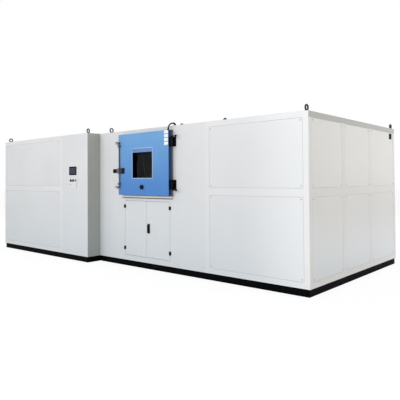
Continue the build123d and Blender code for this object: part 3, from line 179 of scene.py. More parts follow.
@dataclass(frozen=True)
class Finish:
    """One real finish, as the typical values of its material and how its surface was made.

    The colour drifts between colour and shade over patches of patch_mm, the gloss drifts by a tenth each way,
    and the relief stands depth_mm high with its waves, lines or grains relief_mm apart. Corners catch the
    light as if they were rounded to edge_mm.
    """

    name: str
    colour: str
    shade: str
    roughness: float
    relief: Relief = Relief.PEEL
    relief_mm: float = 4.0
    depth_mm: float = 0.02
    patch_mm: float = 500.0
    metallic: float = 0.0
    ior: float = 1.5
    edge_mm: float = 1.2
    shine: float = 0.5
    fades: tuple[Fade, ...] = ()
    inlays: tuple[Inlay, ...] = ()

    def waves(self, tree: Tree, place: Socket) -> Socket:
        """Adds the nodes of the relief.

        Args:
            tree: The material's node tree.
            place: The position that the pattern lies on.

        Returns:
            The socket with the relief's height from 0 to 1.
        """
        per_metre = 1 / (self.relief_mm * MM)
        if self.relief is Relief.FINS:
            lines = {"Vector": place, "Scale": per_metre * WAVE_PER_METRE, "Distortion": 0.0}
            return add_node(tree, "ShaderNodeTexWave", lines).outputs["Fac"]
        stretch = HAIR_LINES if self.relief is Relief.BRUSHED else (1.0, 1.0, 1.0)
        drawn = add_node(tree, "ShaderNodeMapping", {"Vector": place, "Scale": stretch}).outputs["Vector"]
        detail = CAST_DETAIL if self.relief is Relief.CAST else PLAIN_DETAIL
        noise = {"Vector": drawn, "Scale": per_metre, "Detail": detail}
        return add_node(tree, "ShaderNodeTexNoise", noise).outputs["Fac"]

    def mask(self, tree: Tree, place: Socket, inlay: Inlay) -> Socket:
        """Adds the nodes that find one inlay.

        Args:
            tree: The material's node tree.
            place: The position on the piece.
            inlay: The inlay to find.

        Returns:
            The socket that is 1 inside the inlay and 0 outside it.
        """
        parts = add_node(tree, "ShaderNodeSeparateXYZ", {"Vector": place})
        inside = None
        for limit in inlay.limits:
            kind = "GREATER_THAN" if limit.above else "LESS_THAN"
            test = {0: parts.outputs[limit.axis.value], 1: limit.at}
            side = add_node(tree, "ShaderNodeMath", test, operation=kind).outputs[0]
            if inside is None:
                inside = side
            else:
                both = {0: inside, 1: side}
                inside = add_node(tree, "ShaderNodeMath", both, operation="MULTIPLY").outputs[0]
        return inside

    def build(self) -> bpy.types.Material:
        """Makes the material.

        Returns:
            The material, with one principled shader.
        """
        material = bpy.data.materials.new(self.name)
        tree = empty_tree(material)
        place = add_node(tree, "ShaderNodeTexCoord").outputs["Object"]
        patch = {"Vector": place, "Scale": 1 / (self.patch_mm * MM), "Detail": PATCH_DETAIL}
        drift = add_node(tree, "ShaderNodeTexNoise", patch).outputs["Fac"]
        spread = {"Value": drift, "From Min": COLOUR_NOISE[0], "From Max": COLOUR_NOISE[1]}
        share = add_node(tree, "ShaderNodeMapRange", spread).outputs["Result"]
        both = {"Factor": share, "A": linear(self.colour), "B": linear(self.shade)}
        colour = add_node(tree, "ShaderNodeMix", both, data_type="RGBA").outputs["Result"]
        for fade in self.fades:
            at = add_node(tree, "ShaderNodeSeparateXYZ", {"Vector": place}).outputs[fade.axis.value]
            span = {"Value": at, "From Min": fade.none, "From Max": fade.full, "To Min": 0.0, "To Max": 1.0}
            part = add_node(tree, "ShaderNodeMapRange", span, interpolation_type="SMOOTHSTEP")
            both = {"Factor": part.outputs["Result"], "A": colour, "B": linear(fade.colour)}
            colour = add_node(tree, "ShaderNodeMix", both, data_type="RGBA").outputs["Result"]
        gloss = {"Value": drift, "From Min": GLOSS_NOISE[0], "From Max": GLOSS_NOISE[1]}
        gloss |= {"To Min": self.roughness * GLOSS_DRIFT[0], "To Max": self.roughness * GLOSS_DRIFT[1]}
        roughness = add_node(tree, "ShaderNodeMapRange", gloss).outputs["Result"]
        metallic: float | Socket = self.metallic
        for inlay in self.inlays:
            inside = self.mask(tree, place, inlay)
            both = {"Factor": inside, "A": colour, "B": linear(inlay.colour)}
            colour = add_node(tree, "ShaderNodeMix", both, data_type="RGBA").outputs["Result"]
            both = {"Factor": inside, "A": roughness, "B": inlay.roughness}
            roughness = add_node(tree, "ShaderNodeMix", both).outputs["Result"]
            if inlay.metallic != self.metallic:
                both = {"Factor": inside, "A": metallic, "B": inlay.metallic}
                metallic = add_node(tree, "ShaderNodeMix", both).outputs["Result"]
        corner = add_node(tree, "ShaderNodeBevel", {"Radius": self.edge_mm * MM}, samples=4).outputs["Normal"]
        relief = {"Height": self.waves(tree, place), "Distance": self.depth_mm * MM, "Normal": corner}
        normal = add_node(tree, "ShaderNodeBump", relief).outputs["Normal"]
        body = {"Base Color": colour, "Roughness": roughness, "Metallic": metallic, "Normal": normal}
        body |= {"IOR": self.ior, "Specular IOR Level": self.shine}
        shader = add_node(tree, "ShaderNodeBsdfPrincipled", body).outputs["BSDF"]
        add_node(tree, "ShaderNodeOutputMaterial", {"Surface": shader})
        return material


@dataclass(frozen=True)
class Pane:
    """A clear or tinted glass, smooth, with a faint film of dust over patches of dust_mm."""

    name: str
    colour: str
    ior: float
    roughness: float = 0.03
    dust_mm: float = 60.0

    def build(self) -> bpy.types.Material:
        """Makes the material.

        Returns:
            The material, with one principled shader.
        """
        material = bpy.data.materials.new(self.name)
        tree = empty_tree(material)
        place = add_node(tree, "ShaderNodeTexCoord").outputs["Object"]
        film = {"Vector": place, "Scale": 1 / (self.dust_mm * MM), "Detail": DUST_DETAIL}
        drift = add_node(tree, "ShaderNodeTexNoise", film).outputs["Fac"]
        least, most = (self.roughness * share for share in DUST_DRIFT)
        span = {"Value": drift, "To Min": least, "To Max": most}
        roughness = add_node(tree, "ShaderNodeMapRange", span).outputs["Result"]
        body = {"Base Color": linear(self.colour), "Roughness": roughness}
        body |= {"Transmission Weight": 1.0, "IOR": self.ior}
        shader = add_node(tree, "ShaderNodeBsdfPrincipled", body).outputs["BSDF"]
        add_node(tree, "ShaderNodeOutputMaterial", {"Surface": shader})
        return material


Look = Finish | Pane


@cache
def material_of(finish: Look) -> bpy.types.Material:
    """Gives the material of a finish, made once."""
    return finish.build()


def dress(finish: Look, *nodes: str) -> None:
    """Gives CAD nodes their finish.

    Args:
        finish: The finish that all their faces take.
        *nodes: The nodes' names.
    """
    for node in nodes:
        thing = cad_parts[node]
        if not thing.material_slots:
            thing.data.materials.append(material_of(finish))
        for slot in thing.material_slots:
            slot.material = material_of(finish)
        log.info("dressed %s in %s", node, finish.name)


# Surfaces


class Facing(Enum):
    """Where the x, y and z axes of a local piece point in the row frame. The piece faces along its z axis."""

    FRONT = ((1, 0, 0), (0, 0, 1), (0, -1, 0))
    RIGHT = ((0, 1, 0), (0, 0, 1), (1, 0, 0))
    REAR = ((-1, 0, 0), (0, 0, 1), (0, 1, 0))
    LEFT = ((0, -1, 0), (0, 0, 1), (-1, 0, 0))
    TOP = ((1, 0, 0), (0, 1, 0), (0, 0, 1))


@dataclass(frozen=True)
class Surface:
    """A mesh as arrays: points (n, 3), four-sided faces (k, 4), and end faces with more corners."""

    points: np.ndarray
    quads: np.ndarray
    caps: tuple[np.ndarray, ...] = ()

    def placed(self, facing: Facing, place: Point | np.ndarray) -> "Surface":
        """Gives the surface turned to a facing, with its origin at a place."""
        points = self.points @ np.array(facing.value, float) + np.array(place, float)
        return Surface(points, self.quads, self.caps)


def joined(parts: list[Surface]) -> Surface:
    """Puts surfaces together in one mesh, each with its point numbers moved up by the points before it.

    Args:
        parts: The surfaces.

    Returns:
        One surface.
    """
    starts = np.cumsum([0] + [len(part.points) for part in parts])
    points = np.concatenate([part.points for part in parts])
    quads = np.concatenate([part.quads + start for part, start in zip(parts, starts)])
    caps = tuple(cap + start for part, start in zip(parts, starts) for cap in part.caps)
    return Surface(points, quads, caps)


def skin(rings: np.ndarray, looped: bool = False) -> Surface:
    """Lays a surface over rings of points.

    Point p of ring r is joined to point p + 1 of the same ring and to point p of the next ring. The first and
    last rings get an end face, unless the row of rings closes on itself.

    Args:
        rings: An array of rings, points and coordinates, each ring anticlockwise seen from the last one.
        looped: Whether the last ring is joined to the first.

    Returns:
        A closed surface with its faces outwards.
    """
    count, around = rings.shape[:2]
    ring = np.arange(count if looped else count - 1)[:, None]
    point = np.arange(around)[None, :]
    after, beside = (ring + 1) % count, (point + 1) % around
    corners = (ring * around + point, ring * around + beside, after * around + beside, after * around + point)
    quads = np.stack([c.ravel() for c in np.broadcast_arrays(*corners)], axis=1)
    caps = ()
    if not looped:
        caps = (np.arange(around)[::-1], (count - 1) * around + np.arange(around))
    return Surface(rings.reshape(-1, 3), quads, caps)


def turned(profile: list[tuple[float, float]], segments: int = 24) -> Surface:
    """Turns a profile about the local Z axis: the point at angle a is (r cos a, r sin a, h).

    Args:
        profile: Radius and height of each ring, bottom first.
        segments: How many points each ring has.

    Returns:
        A closed surface.
    """
    radius, height = np.array(profile, float).T
    angle = np.linspace(0, TAU, segments, endpoint=False)
    x = radius[:, None] * np.cos(angle)
    y = radius[:, None] * np.sin(angle)
    z = np.broadcast_to(height[:, None], x.shape)
    return skin(np.stack([x, y, z], axis=2))


def rounded_outline(width: float, height: float, corner: float, steps: int = 5) -> np.ndarray:
    """Gives a rectangle with round corners: four quarter circles, each about a corner's centre.

    Args:
        width: Its size along x.
        height: Its size along y.
        corner: The radius of its corners.
        steps: How many points each quarter circle has.

    Returns:
        Points (n, 2), anticlockwise.
    """
    quarter = np.linspace(0, TAU / 4, steps)
    angle = (quarter[None, :] + np.arange(4)[:, None] * TAU / 4).ravel()
    side_x = np.repeat([1, -1, -1, 1], steps) * (width / 2 - corner)
    side_y = np.repeat([1, 1, -1, -1], steps) * (height / 2 - corner)
    return np.stack([side_x + corner * np.cos(angle), side_y + corner * np.sin(angle)], axis=1)


def outward_of(outline: np.ndarray) -> np.ndarray:
    """Finds the outward direction along an outline: across the line from the point before to the point after.

    Args:
        outline: Points (n, 2), closed and anticlockwise.

    Returns:
        A unit vector for each point.
    """
    forward = np.roll(outline, -1, axis=0) - np.roll(outline, 1, axis=0)
    forward /= np.linalg.norm(forward, axis=1)[:, None]
    return np.stack([forward[:, 1], -forward[:, 0]], axis=1)


def raised(outline: np.ndarray, levels: list[tuple[float, float]]) -> Surface:
    """Raises an outline through levels: at each one its points move in along their normals by the inset.

    Args:
        outline: Points (n, 2), anticlockwise.
        levels: The inset and the height of each ring, lowest first.

    Returns:
        A closed surface.
    """
    outward = outward_of(outline)
    rings = [np.column_stack([outline - inset * outward, np.full(len(outline), z)]) for inset, z in levels]
    return skin(np.stack(rings))


def chamfered(outline: np.ndarray, half: float, edge: float) -> Surface:
    """Raises an outline from -half to half, drawn in by edge at both ends."""
    return raised(outline, [(edge, -half), (0, edge - half), (0, half - edge), (edge, half)])


def slab(width: float, height: float, depth: float, corner: float, edge: float) -> Surface:
    """Makes a plate with round corners and a rolled front edge.

    Its outline rises straight from z = 0 and then draws in along a quarter circle of radius edge.

    Args:
        width: Its size along x.
        height: Its size along y.
        depth: Its thickness along z.
        corner: The radius of its four corners.
        edge: The radius of its front edge.

    Returns:
        A closed surface centred on x = 0 and y = 0.
    """
    roll = np.linspace(0, TAU / 4, 4)
    levels = [(0.0, 0.0)] + [(edge * (1 - math.cos(t)), depth - edge + edge * math.sin(t)) for t in roll]
    return raised(rounded_outline(width, height, corner), levels)


def bead(path: np.ndarray, section: np.ndarray) -> Surface:
    """Carries a closed section round a closed outline.

    A section point (s, t) lands at the outline's point plus s times its outward normal, at height t.

    Args:
        path: The outline's points (n, 2), anticlockwise.
        section: Points (n, 2), anticlockwise: out from the outline, and up.

    Returns:
        A closed surface.
    """
    flat = path[:, None, :] + outward_of(path)[:, None, :] * section[None, :, :1]
    level = np.broadcast_to(section[None, :, 1:], flat.shape[:2] + (1,))
    return skin(np.concatenate([flat, level], axis=2)[:, ::-1], looped=True)


def ellipse(radius_x: float, radius_y: float, count: int = 12) -> np.ndarray:
    """Gives an ellipse (a cos t, b sin t) as points (n, 2), anticlockwise."""
    angle = np.linspace(0, TAU, count, endpoint=False)
    return np.stack([radius_x * np.cos(angle), radius_y * np.sin(angle)], axis=1)


def hose(path: np.ndarray, radius: np.ndarray, across: Point, segments: int = 20) -> Surface:
    """Carries a circle along a path, with its own radius at each point.

    The circle's first direction is the path's direction crossed with one fixed direction, so that the tube
    doesn't twist.

    Args:
        path: Points (n, 3).
        radius: The tube's radius at each point.
        across: The fixed direction, which the path never takes.
        segments: How many points each circle has.

    Returns:
        A closed surface.
    """
    ahead = np.gradient(path, axis=0)
    ahead /= np.linalg.norm(ahead, axis=1)[:, None]
    side = np.cross(ahead, np.array(across, float))
    side /= np.linalg.norm(side, axis=1)[:, None]
    over = np.cross(ahead, side)
    angle = np.linspace(0, TAU, segments, endpoint=False)[None, :, None]
    wheel = np.cos(angle) * side[:, None, :] + np.sin(angle) * over[:, None, :]
    return skin(path[:, None, :] + wheel * radius[:, None, None])


def bent(points: list[Point], count: int) -> np.ndarray:
    """Gives the smooth curve that a rigid bar follows: the Bernstein mean of its guide points.

    Args:
        points: The guide points, of which the first and the last lie on the curve.
        count: How many points the curve gets.

    Returns:
        Points (count, 3).
    """
    guide = np.array(points, float)
    order = len(guide) - 1
    t = np.linspace(0, 1, count)[:, None]
    k = np.arange(order + 1)[None, :]
    ways = np.array([math.comb(order, n) for n in range(order + 1)])
    return (ways * t**k * (1 - t) ** (order - k)) @ guide


def button_screw(radius: float, height: float) -> Surface:
    """Turns a button head: a low dome on a short wall, sunk round the drive.

    Args:
        radius: The head's radius.
        height: Its height.

    Returns:
        A closed surface on z = 0, with eight sides, because there are many screws.
    """
    r, h = radius, height
    dome = [(r, 0.0), (r, h * 0.3), (r * 0.85, h * 0.75), (r * 0.55, h)]
    drive = [(r * 0.5, h * 0.55), (r * 0.1, h * 0.5)]
    return turned(dome + drive, 8)


def pin(radius: float, height: float, chamfer: float, segments: int) -> Surface:
    """Turns a pin on z = 0, drawn in at both ends over a chamfer that is a share of its radius."""
    r, end, c = radius, radius * 0.7, radius * chamfer
    return turned([(end, 0), (r, c), (r, height - c), (end, height)], segments)


def ball(radius: float, segments: int = 20) -> Surface:
    """Turns a ball: the ring at angle t has radius r cos t and height r sin t, nearly closed at the poles."""
    turn = np.linspace(-TAU / 4, TAU / 4, segments // 2 + 1)
    return turned([(max(radius * math.cos(t), radius * 0.02), radius * math.sin(t)) for t in turn], segments)


def piece_boxes(node: str) -> np.ndarray:
    """Finds the box of each separate solid of a CAD node.

    Every point takes the lowest number among the points of its triangles, again and again, until each solid
    has one number.

    Args:
        node: The node's name.

    Returns:
        Boxes (n, 2, 3), low corner first, ordered by their place.
    """
    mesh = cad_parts[node].data
    points = np.empty(len(mesh.vertices) * 3)
    mesh.vertices.foreach_get("co", points)
    corners = np.empty(len(mesh.loops), int)
    mesh.loops.foreach_get("vertex_index", corners)
    spots, same = np.unique(np.round(points.reshape(-1, 3), 5), axis=0, return_inverse=True)
    triangles = same.ravel()[corners].reshape(-1, 3)
    label = np.arange(len(spots))
    while True:
        lowest = label[triangles].min(axis=1)
        fresh = label.copy()
        np.minimum.at(fresh, triangles.ravel(), np.repeat(lowest, 3))
        fresh = fresh[fresh]
        if np.array_equal(fresh, label):
            break
        label = fresh
    solids = [spots[label == n] for n in np.unique(label)]
    return np.array([[solid.min(axis=0), solid.max(axis=0)] for solid in solids])


def stand(name: str, surface: Surface, body: str | None, finish: Look) -> bpy.types.Object:
    """Makes an object from a surface, with its finish, on the body that carries it.

    Faces that meet at less than 40 degrees are shaded as one.

    Args:
        name: The piece's name.
        surface: Its mesh, in the row frame.
        body: The body that it moves with, or None for a piece that is left on no body.
        finish: Its finish.

    Returns:
        The object, at the origin.
    """
    mesh = bpy.data.meshes.new(name)
    faces = surface.quads.tolist() + [cap.tolist() for cap in surface.caps]
    mesh.from_pydata(surface.points.tolist(), [], faces)
    mesh.validate()
    mesh.polygons.foreach_set("use_smooth", [True] * len(mesh.polygons))
    mesh.set_sharp_from_angle(angle=math.radians(40))
    mesh.materials.append(material_of(finish))
    thing = bpy.data.objects.new(name, mesh)
    bpy.context.scene.collection.objects.link(thing)
    if body:
        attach(thing, body)
    log.info("built %s with %d points on %s", name, len(mesh.vertices), body or "two bodies")
    return thing


# The finishes of this chamber

# Just inside the right side's face, the corner post's left edge and front face, and the roof rail's foot.
SIDE_FACE, POST_LEFT, POST_FRONT, RAIL_FOOT = 3.6155, 3.5375, -1.366, 2.222
# Just inside the door skin's right edge, and just behind its front face.
DOOR_SIDE, DOOR_FRONT = 1.2835, -1.4605
# The top of the painted shadow along the drip rail's foot, the left edge of the bearing bracket's cover, and
# the stretch of the rod with a painted sheen.
DRIP_SHADOW_TOP, COVER_LEFT, SHEEN_LOW, SHEEN_HIGH = 1.166, 0.156, 1.345, 1.585

# Baked polyester powder on steel sheet: satin, with soft waves a few millimetres apart. Its white carries a
# painted shade, cooler and darker towards the floor.
WHITE_PAINTED_SHADE = Fade("#CED3D7", 0.1, 1.6)
WHITE_COAT = Finish("white_powder_coat", "#D7D8D9", "#D3D4D6", 0.34, patch_mm=900, fades=(WHITE_PAINTED_SHADE,))
# Painted light: the front's panels get whiter towards the near corner.
NEAR_CORNER_PAINTED_LIGHT = Fade("#E5E7E9", 3.65, 2.5, Axis.X)
PANEL_COAT = replace(WHITE_COAT, name="white_front_powder_coat", fades=WHITE_COAT.fades + (NEAR_CORNER_PAINTED_LIGHT,))
# The same powder on the main body's right side, a little glossier; its warmer, lighter white is painted
# light, and a painted shade darkens it towards the floor.
SIDE_PAINTED_SHADE = Fade("#D9DCDE", 0.1, 1.3)
SIDE_COAT = Finish("white_side_powder_coat", "#E0DDD8", "#DCDAD7", 0.24, patch_mm=1400, fades=(SIDE_PAINTED_SHADE,))
# The frame's posts and rails, in the sheets' powder, with painted light and shade: the corner post is the
# whitest as a painted highlight, the right face warmer as painted light, the top of the right face a painted
# shade under the roof's edge, and the whole darker towards the floor as painted shade and whiter towards the
# near corner as painted light.
RIGHT_FACE_PAINTED_LIGHT = Inlay("#DDDAD6", 0.26, 0.0, (Limit(Axis.X, SIDE_FACE),))
ROOF_RAIL_PAINTED_SHADE = Inlay("#B0AFAA", 0.26, 0.0, (Limit(Axis.X, SIDE_FACE), Limit(Axis.Z, RAIL_FOOT)))
CORNER_POST_PAINTED_HIGHLIGHT = Inlay("#E8E9E8", 0.26, 0.0, (Limit(Axis.X, POST_LEFT), Limit(Axis.Y, POST_FRONT, above=False)))
FRAME_COAT = Finish(
    "white_frame_powder_coat",
    "#DADBDC",
    "#D6D7D9",
    0.3,
    patch_mm=700,
    fades=(Fade("#D3D7DA", 0.1, 1.5), NEAR_CORNER_PAINTED_LIGHT),
    inlays=(RIGHT_FACE_PAINTED_LIGHT, ROOF_RAIL_PAINTED_SHADE, CORNER_POST_PAINTED_HIGHLIGHT),
)
# White powder on the service leaves, whose small hinge halves in front of the sheet are black.
HINGE_HALF = Inlay("#050609", 0.6, 0.0, (Limit(Axis.Y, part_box("front_sheet")[0].y - 0.0003, above=False),))
LEAF_COAT = replace(WHITE_COAT, name="white_service_leaf", inlays=(HINGE_HALF,))
# Warm grey powder on the sheet where the cabinet stands forward, with a painted shade that darkens it towards
# the floor.
GREY_PAINTED_SHADE = Fade("#9FA4A1", 0.1, 1.8)
GREY_COAT = Finish("grey_powder_coat", "#A6A79F", "#A0A19A", 0.45, patch_mm=600, fades=(GREY_PAINTED_SHADE,))
# Black enamel brushed on hot-rolled channel, dull, with the grain of the steel under it.
BLACK_BASE = Finish("black_base_enamel", "#030508", "#06080B", 0.55, Relief.CAST, 6.0, 0.15, 250, shine=0.03)
# Blue powder on the door, satin; a painted shade deepens its blue towards the bottom, and its right side face
# is painted deep blue as shade.
DOOR_EDGE_PAINTED_SHADE = Inlay("#1C3157", 0.4, 0.0, (Limit(Axis.X, DOOR_SIDE), Limit(Axis.Y, DOOR_FRONT)))
BLUE_COAT = Finish(
    "blue_door_powder_coat",
    "#6A9DD1",
    "#6297CC",
    0.36,
    patch_mm=400,
    shine=0.35,
    fades=(Fade("#457DC0", 1.15, 2.2),),
    inlays=(DOOR_EDGE_PAINTED_SHADE,),
)
# Grey primer on the collar round the doorway.
COLLAR = Finish("grey_collar_primer", "#77716B", "#6E6963", 0.55, Relief.CAST, 3.0, 0.05, 120)
# White powder on the drip rail, with a brown painted shadow along its foot.
DRIP_PAINTED_SHADOW = Inlay("#5C5146", 0.7, 0.0, (Limit(Axis.Z, DRIP_SHADOW_TOP, above=False),))
DRIP_COAT = Finish("drip_rail_coat", "#E8E8E6", "#E2E2E1", 0.34, patch_mm=200, inlays=(DRIP_PAINTED_SHADOW,))
# Austenitic stainless sheet with a belt finish: bright, with hair lines along X.
STAINLESS = Finish("brushed_stainless", "#B9BABA", "#AEB0B1", 0.32, Relief.BRUSHED, 0.8, 0.01, 300, 1.0)
# Rigid foam, cut and taped, only seen where the door is open.
FOAM = Finish("rigid_foam", "#E3D9B8", "#D9CEA9", 0.9, Relief.CAST, 2.0, 0.3, 90)
# Moulded silicone: dull, soft edged, dark grey.
SILICONE = Finish("dark_silicone", "#2B2D30", "#323437", 0.55, Relief.CAST, 1.5, 0.02, 60)
# Grey sealant drawn into the joint round each panel; its darker grey also stands for the painted shade in the
# panels' gaps.
SEALANT_AND_GAP_SHADE = Finish("grey_joint_sealant", "#B9BBBC", "#AFB1B2", 0.6, Relief.CAST, 3.0, 0.05, 80, shine=0.3)
# Die-cast zinc under black powder: satin black with a fine pebble.
BLACK_CAST = Finish("black_die_cast", "#06070A", "#0A0B0E", 0.42, Relief.CAST, 1.2, 0.03, 60, shine=0.1)
# The bearing bracket's grey die casting, with its black cover to the right of the rod.
COVER = Inlay("#06070B", 0.5, 0.0, (Limit(Axis.X, COVER_LEFT),))
BAR_BRACKET = Finish(
    "grey_die_cast_bracket",
    "#5A5C69",
    "#52545F",
    0.42,
    Relief.CAST,
    relief_mm=1.2,
    depth_mm=0.03,
    patch_mm=50,
    shine=0.15,
    inlays=(COVER,),
)
# The hub between the bracket's ears, in the same grey, tumbled bright on its edges.
HUB = Finish("grey_die_cast_hub", "#62646F", "#5A5C68", 0.4, Relief.CAST, 1.2, 0.03, 40, 0.3)
# Cold-drawn rod under blue-black lacquer, with a grey painted sheen on its stretch below the lever.
ROD_PAINTED_SHEEN = Inlay("#6A6C7C", 0.35, 0.0, (Limit(Axis.Z, SHEEN_HIGH, above=False), Limit(Axis.Z, SHEEN_LOW)))
ROD = Finish(
    "blue_black_lacquered_rod", "#1B2744", "#172139", 0.32, Relief.CAST, 1.5, 0.02, 70, inlays=(ROD_PAINTED_SHEEN,)
)
# The keepers take the wall's white powder.
KEEPER = Finish("white_keeper_coat", "#C9CBCC", "#C2C4C6", 0.4, patch_mm=60)
# Phenolic moulding, very dark blue.
NAVY_KNOB = Finish("dark_phenolic_knob", "#070B20", "#060919", 0.4, Relief.CAST, 0.8, 0.02, 30, shine=0.1)
# Heat-proof silicone on a stainless arm, pale, so that it shows dimly through the glass.
PALE_WIPER = Finish("pale_silicone_wiper", "#C4C8C6", "#B9BDBB", 0.5, Relief.CAST, 1.0, 0.02, 40)
# Glass-filled nylon, moulded, dull black.
BLACK_MOULDED = Finish(
    "black_moulded_nylon", "#050609", "#090A0D", 0.45, Relief.CAST, 0.8, 0.02, 50, shine=0.08
)
# Galvanised steel: grey with a soft spangle.
ZINC = Finish("galvanised_steel", "#A9AEB2", "#979DA2", 0.42, Relief.CAST, 9.0, 0.02, 18, 0.9)
# Forged steel eyes, phosphated dark grey.
FORGED = Finish("forged_phosphated_steel", "#26282A", "#1E2022", 0.46, Relief.CAST, 2.5, 0.08, 30, 0.4)
# Aluminium fins, pressed and stacked, drawn 19 mm apart instead of 3 mm, so that they show.
FINS = Finish("stacked_aluminium_fins", "#B5B9BC", "#A8ADB0", 0.4, Relief.FINS, 3.0 * TAU, 0.4, 120, 0.9)
# Polyethylene tank, rotation moulded, milky white.
TANK = Finish("milky_polyethylene", "#E9EBE6", "#E1E4DE", 0.5, Relief.CAST, 5.0, 0.1, 160)
# Compressor and vessel enamel, dark grey-blue on castings.
MACHINE = Finish("machine_enamel", "#3E4A57", "#36414D", 0.45, Relief.CAST, 3.0, 0.15, 150)
# Zinc screws under a dark passivation.
SCREW = Finish("dark_zinc_screws", "#6A6E72", "#5C6064", 0.4, Relief.CAST, 1.0, 0.02, 8, 0.8, edge_mm=0.5)
# Blank white acrylic plates with a beige strip printed along the foot.
PLATE = Finish("white_acrylic_plate", "#EDEFEA", "#E8EAE4", 0.25, patch_mm=40, edge_mm=0.5)
STRIP = Finish("beige_edge_strip", "#A79C7E", "#9C9172", 0.4, patch_mm=40, edge_mm=0.5)
# Frosted polycarbonate over the lamp, bluish where the door's colour shines in it.
LAMP_COVER = Finish("frosted_lamp_cover", "#6A8AC6", "#6080BE", 0.34, patch_mm=50, edge_mm=0.8, shine=0.3)
# Pale rubber bead that holds the outer pane; its pale blue is partly a painted highlight along the window's
# edge.
BEAD_PAINTED_HIGHLIGHT = Finish("pale_window_bead", "#B7D3EE", "#ABCAE8", 0.45, Relief.CAST, 2.0, 0.02, 60)
# Tempered glass, faintly grey-green, with an anti-reflection film that the low index stands for.
GLASS = Pane("grey_tempered_glass", "#B0BCBC", ior=1.15)
# Dark red moulded cap of the stop button.
RED = Finish(
    "dark_red_moulded_cap", "#5E2A28", "#542422", 0.4, Relief.CAST, 1.0, 0.01, 20, edge_mm=0.6, shine=0.3
)
# White powder on the raised control plate.
CONTROL_WHITE = Finish("control_plate_coat", "#DADCDD", "#D6D8DA", 0.36, patch_mm=120)
# White moulded rim that presses the screen's seal to the sheet.
WHITE_RIM = Finish("white_moulded_rim", "#F4F6F8", "#EFF1F4", 0.4, Relief.CAST, 1.0, 0.01, 60)
# The screen's display behind anti-glare film, slate blue and unlit.
SCREEN = Finish("slate_screen_film", "#2C3644", "#27303D", 0.3, patch_mm=90, edge_mm=0.4, shine=0.2)


# Sub-assemblies


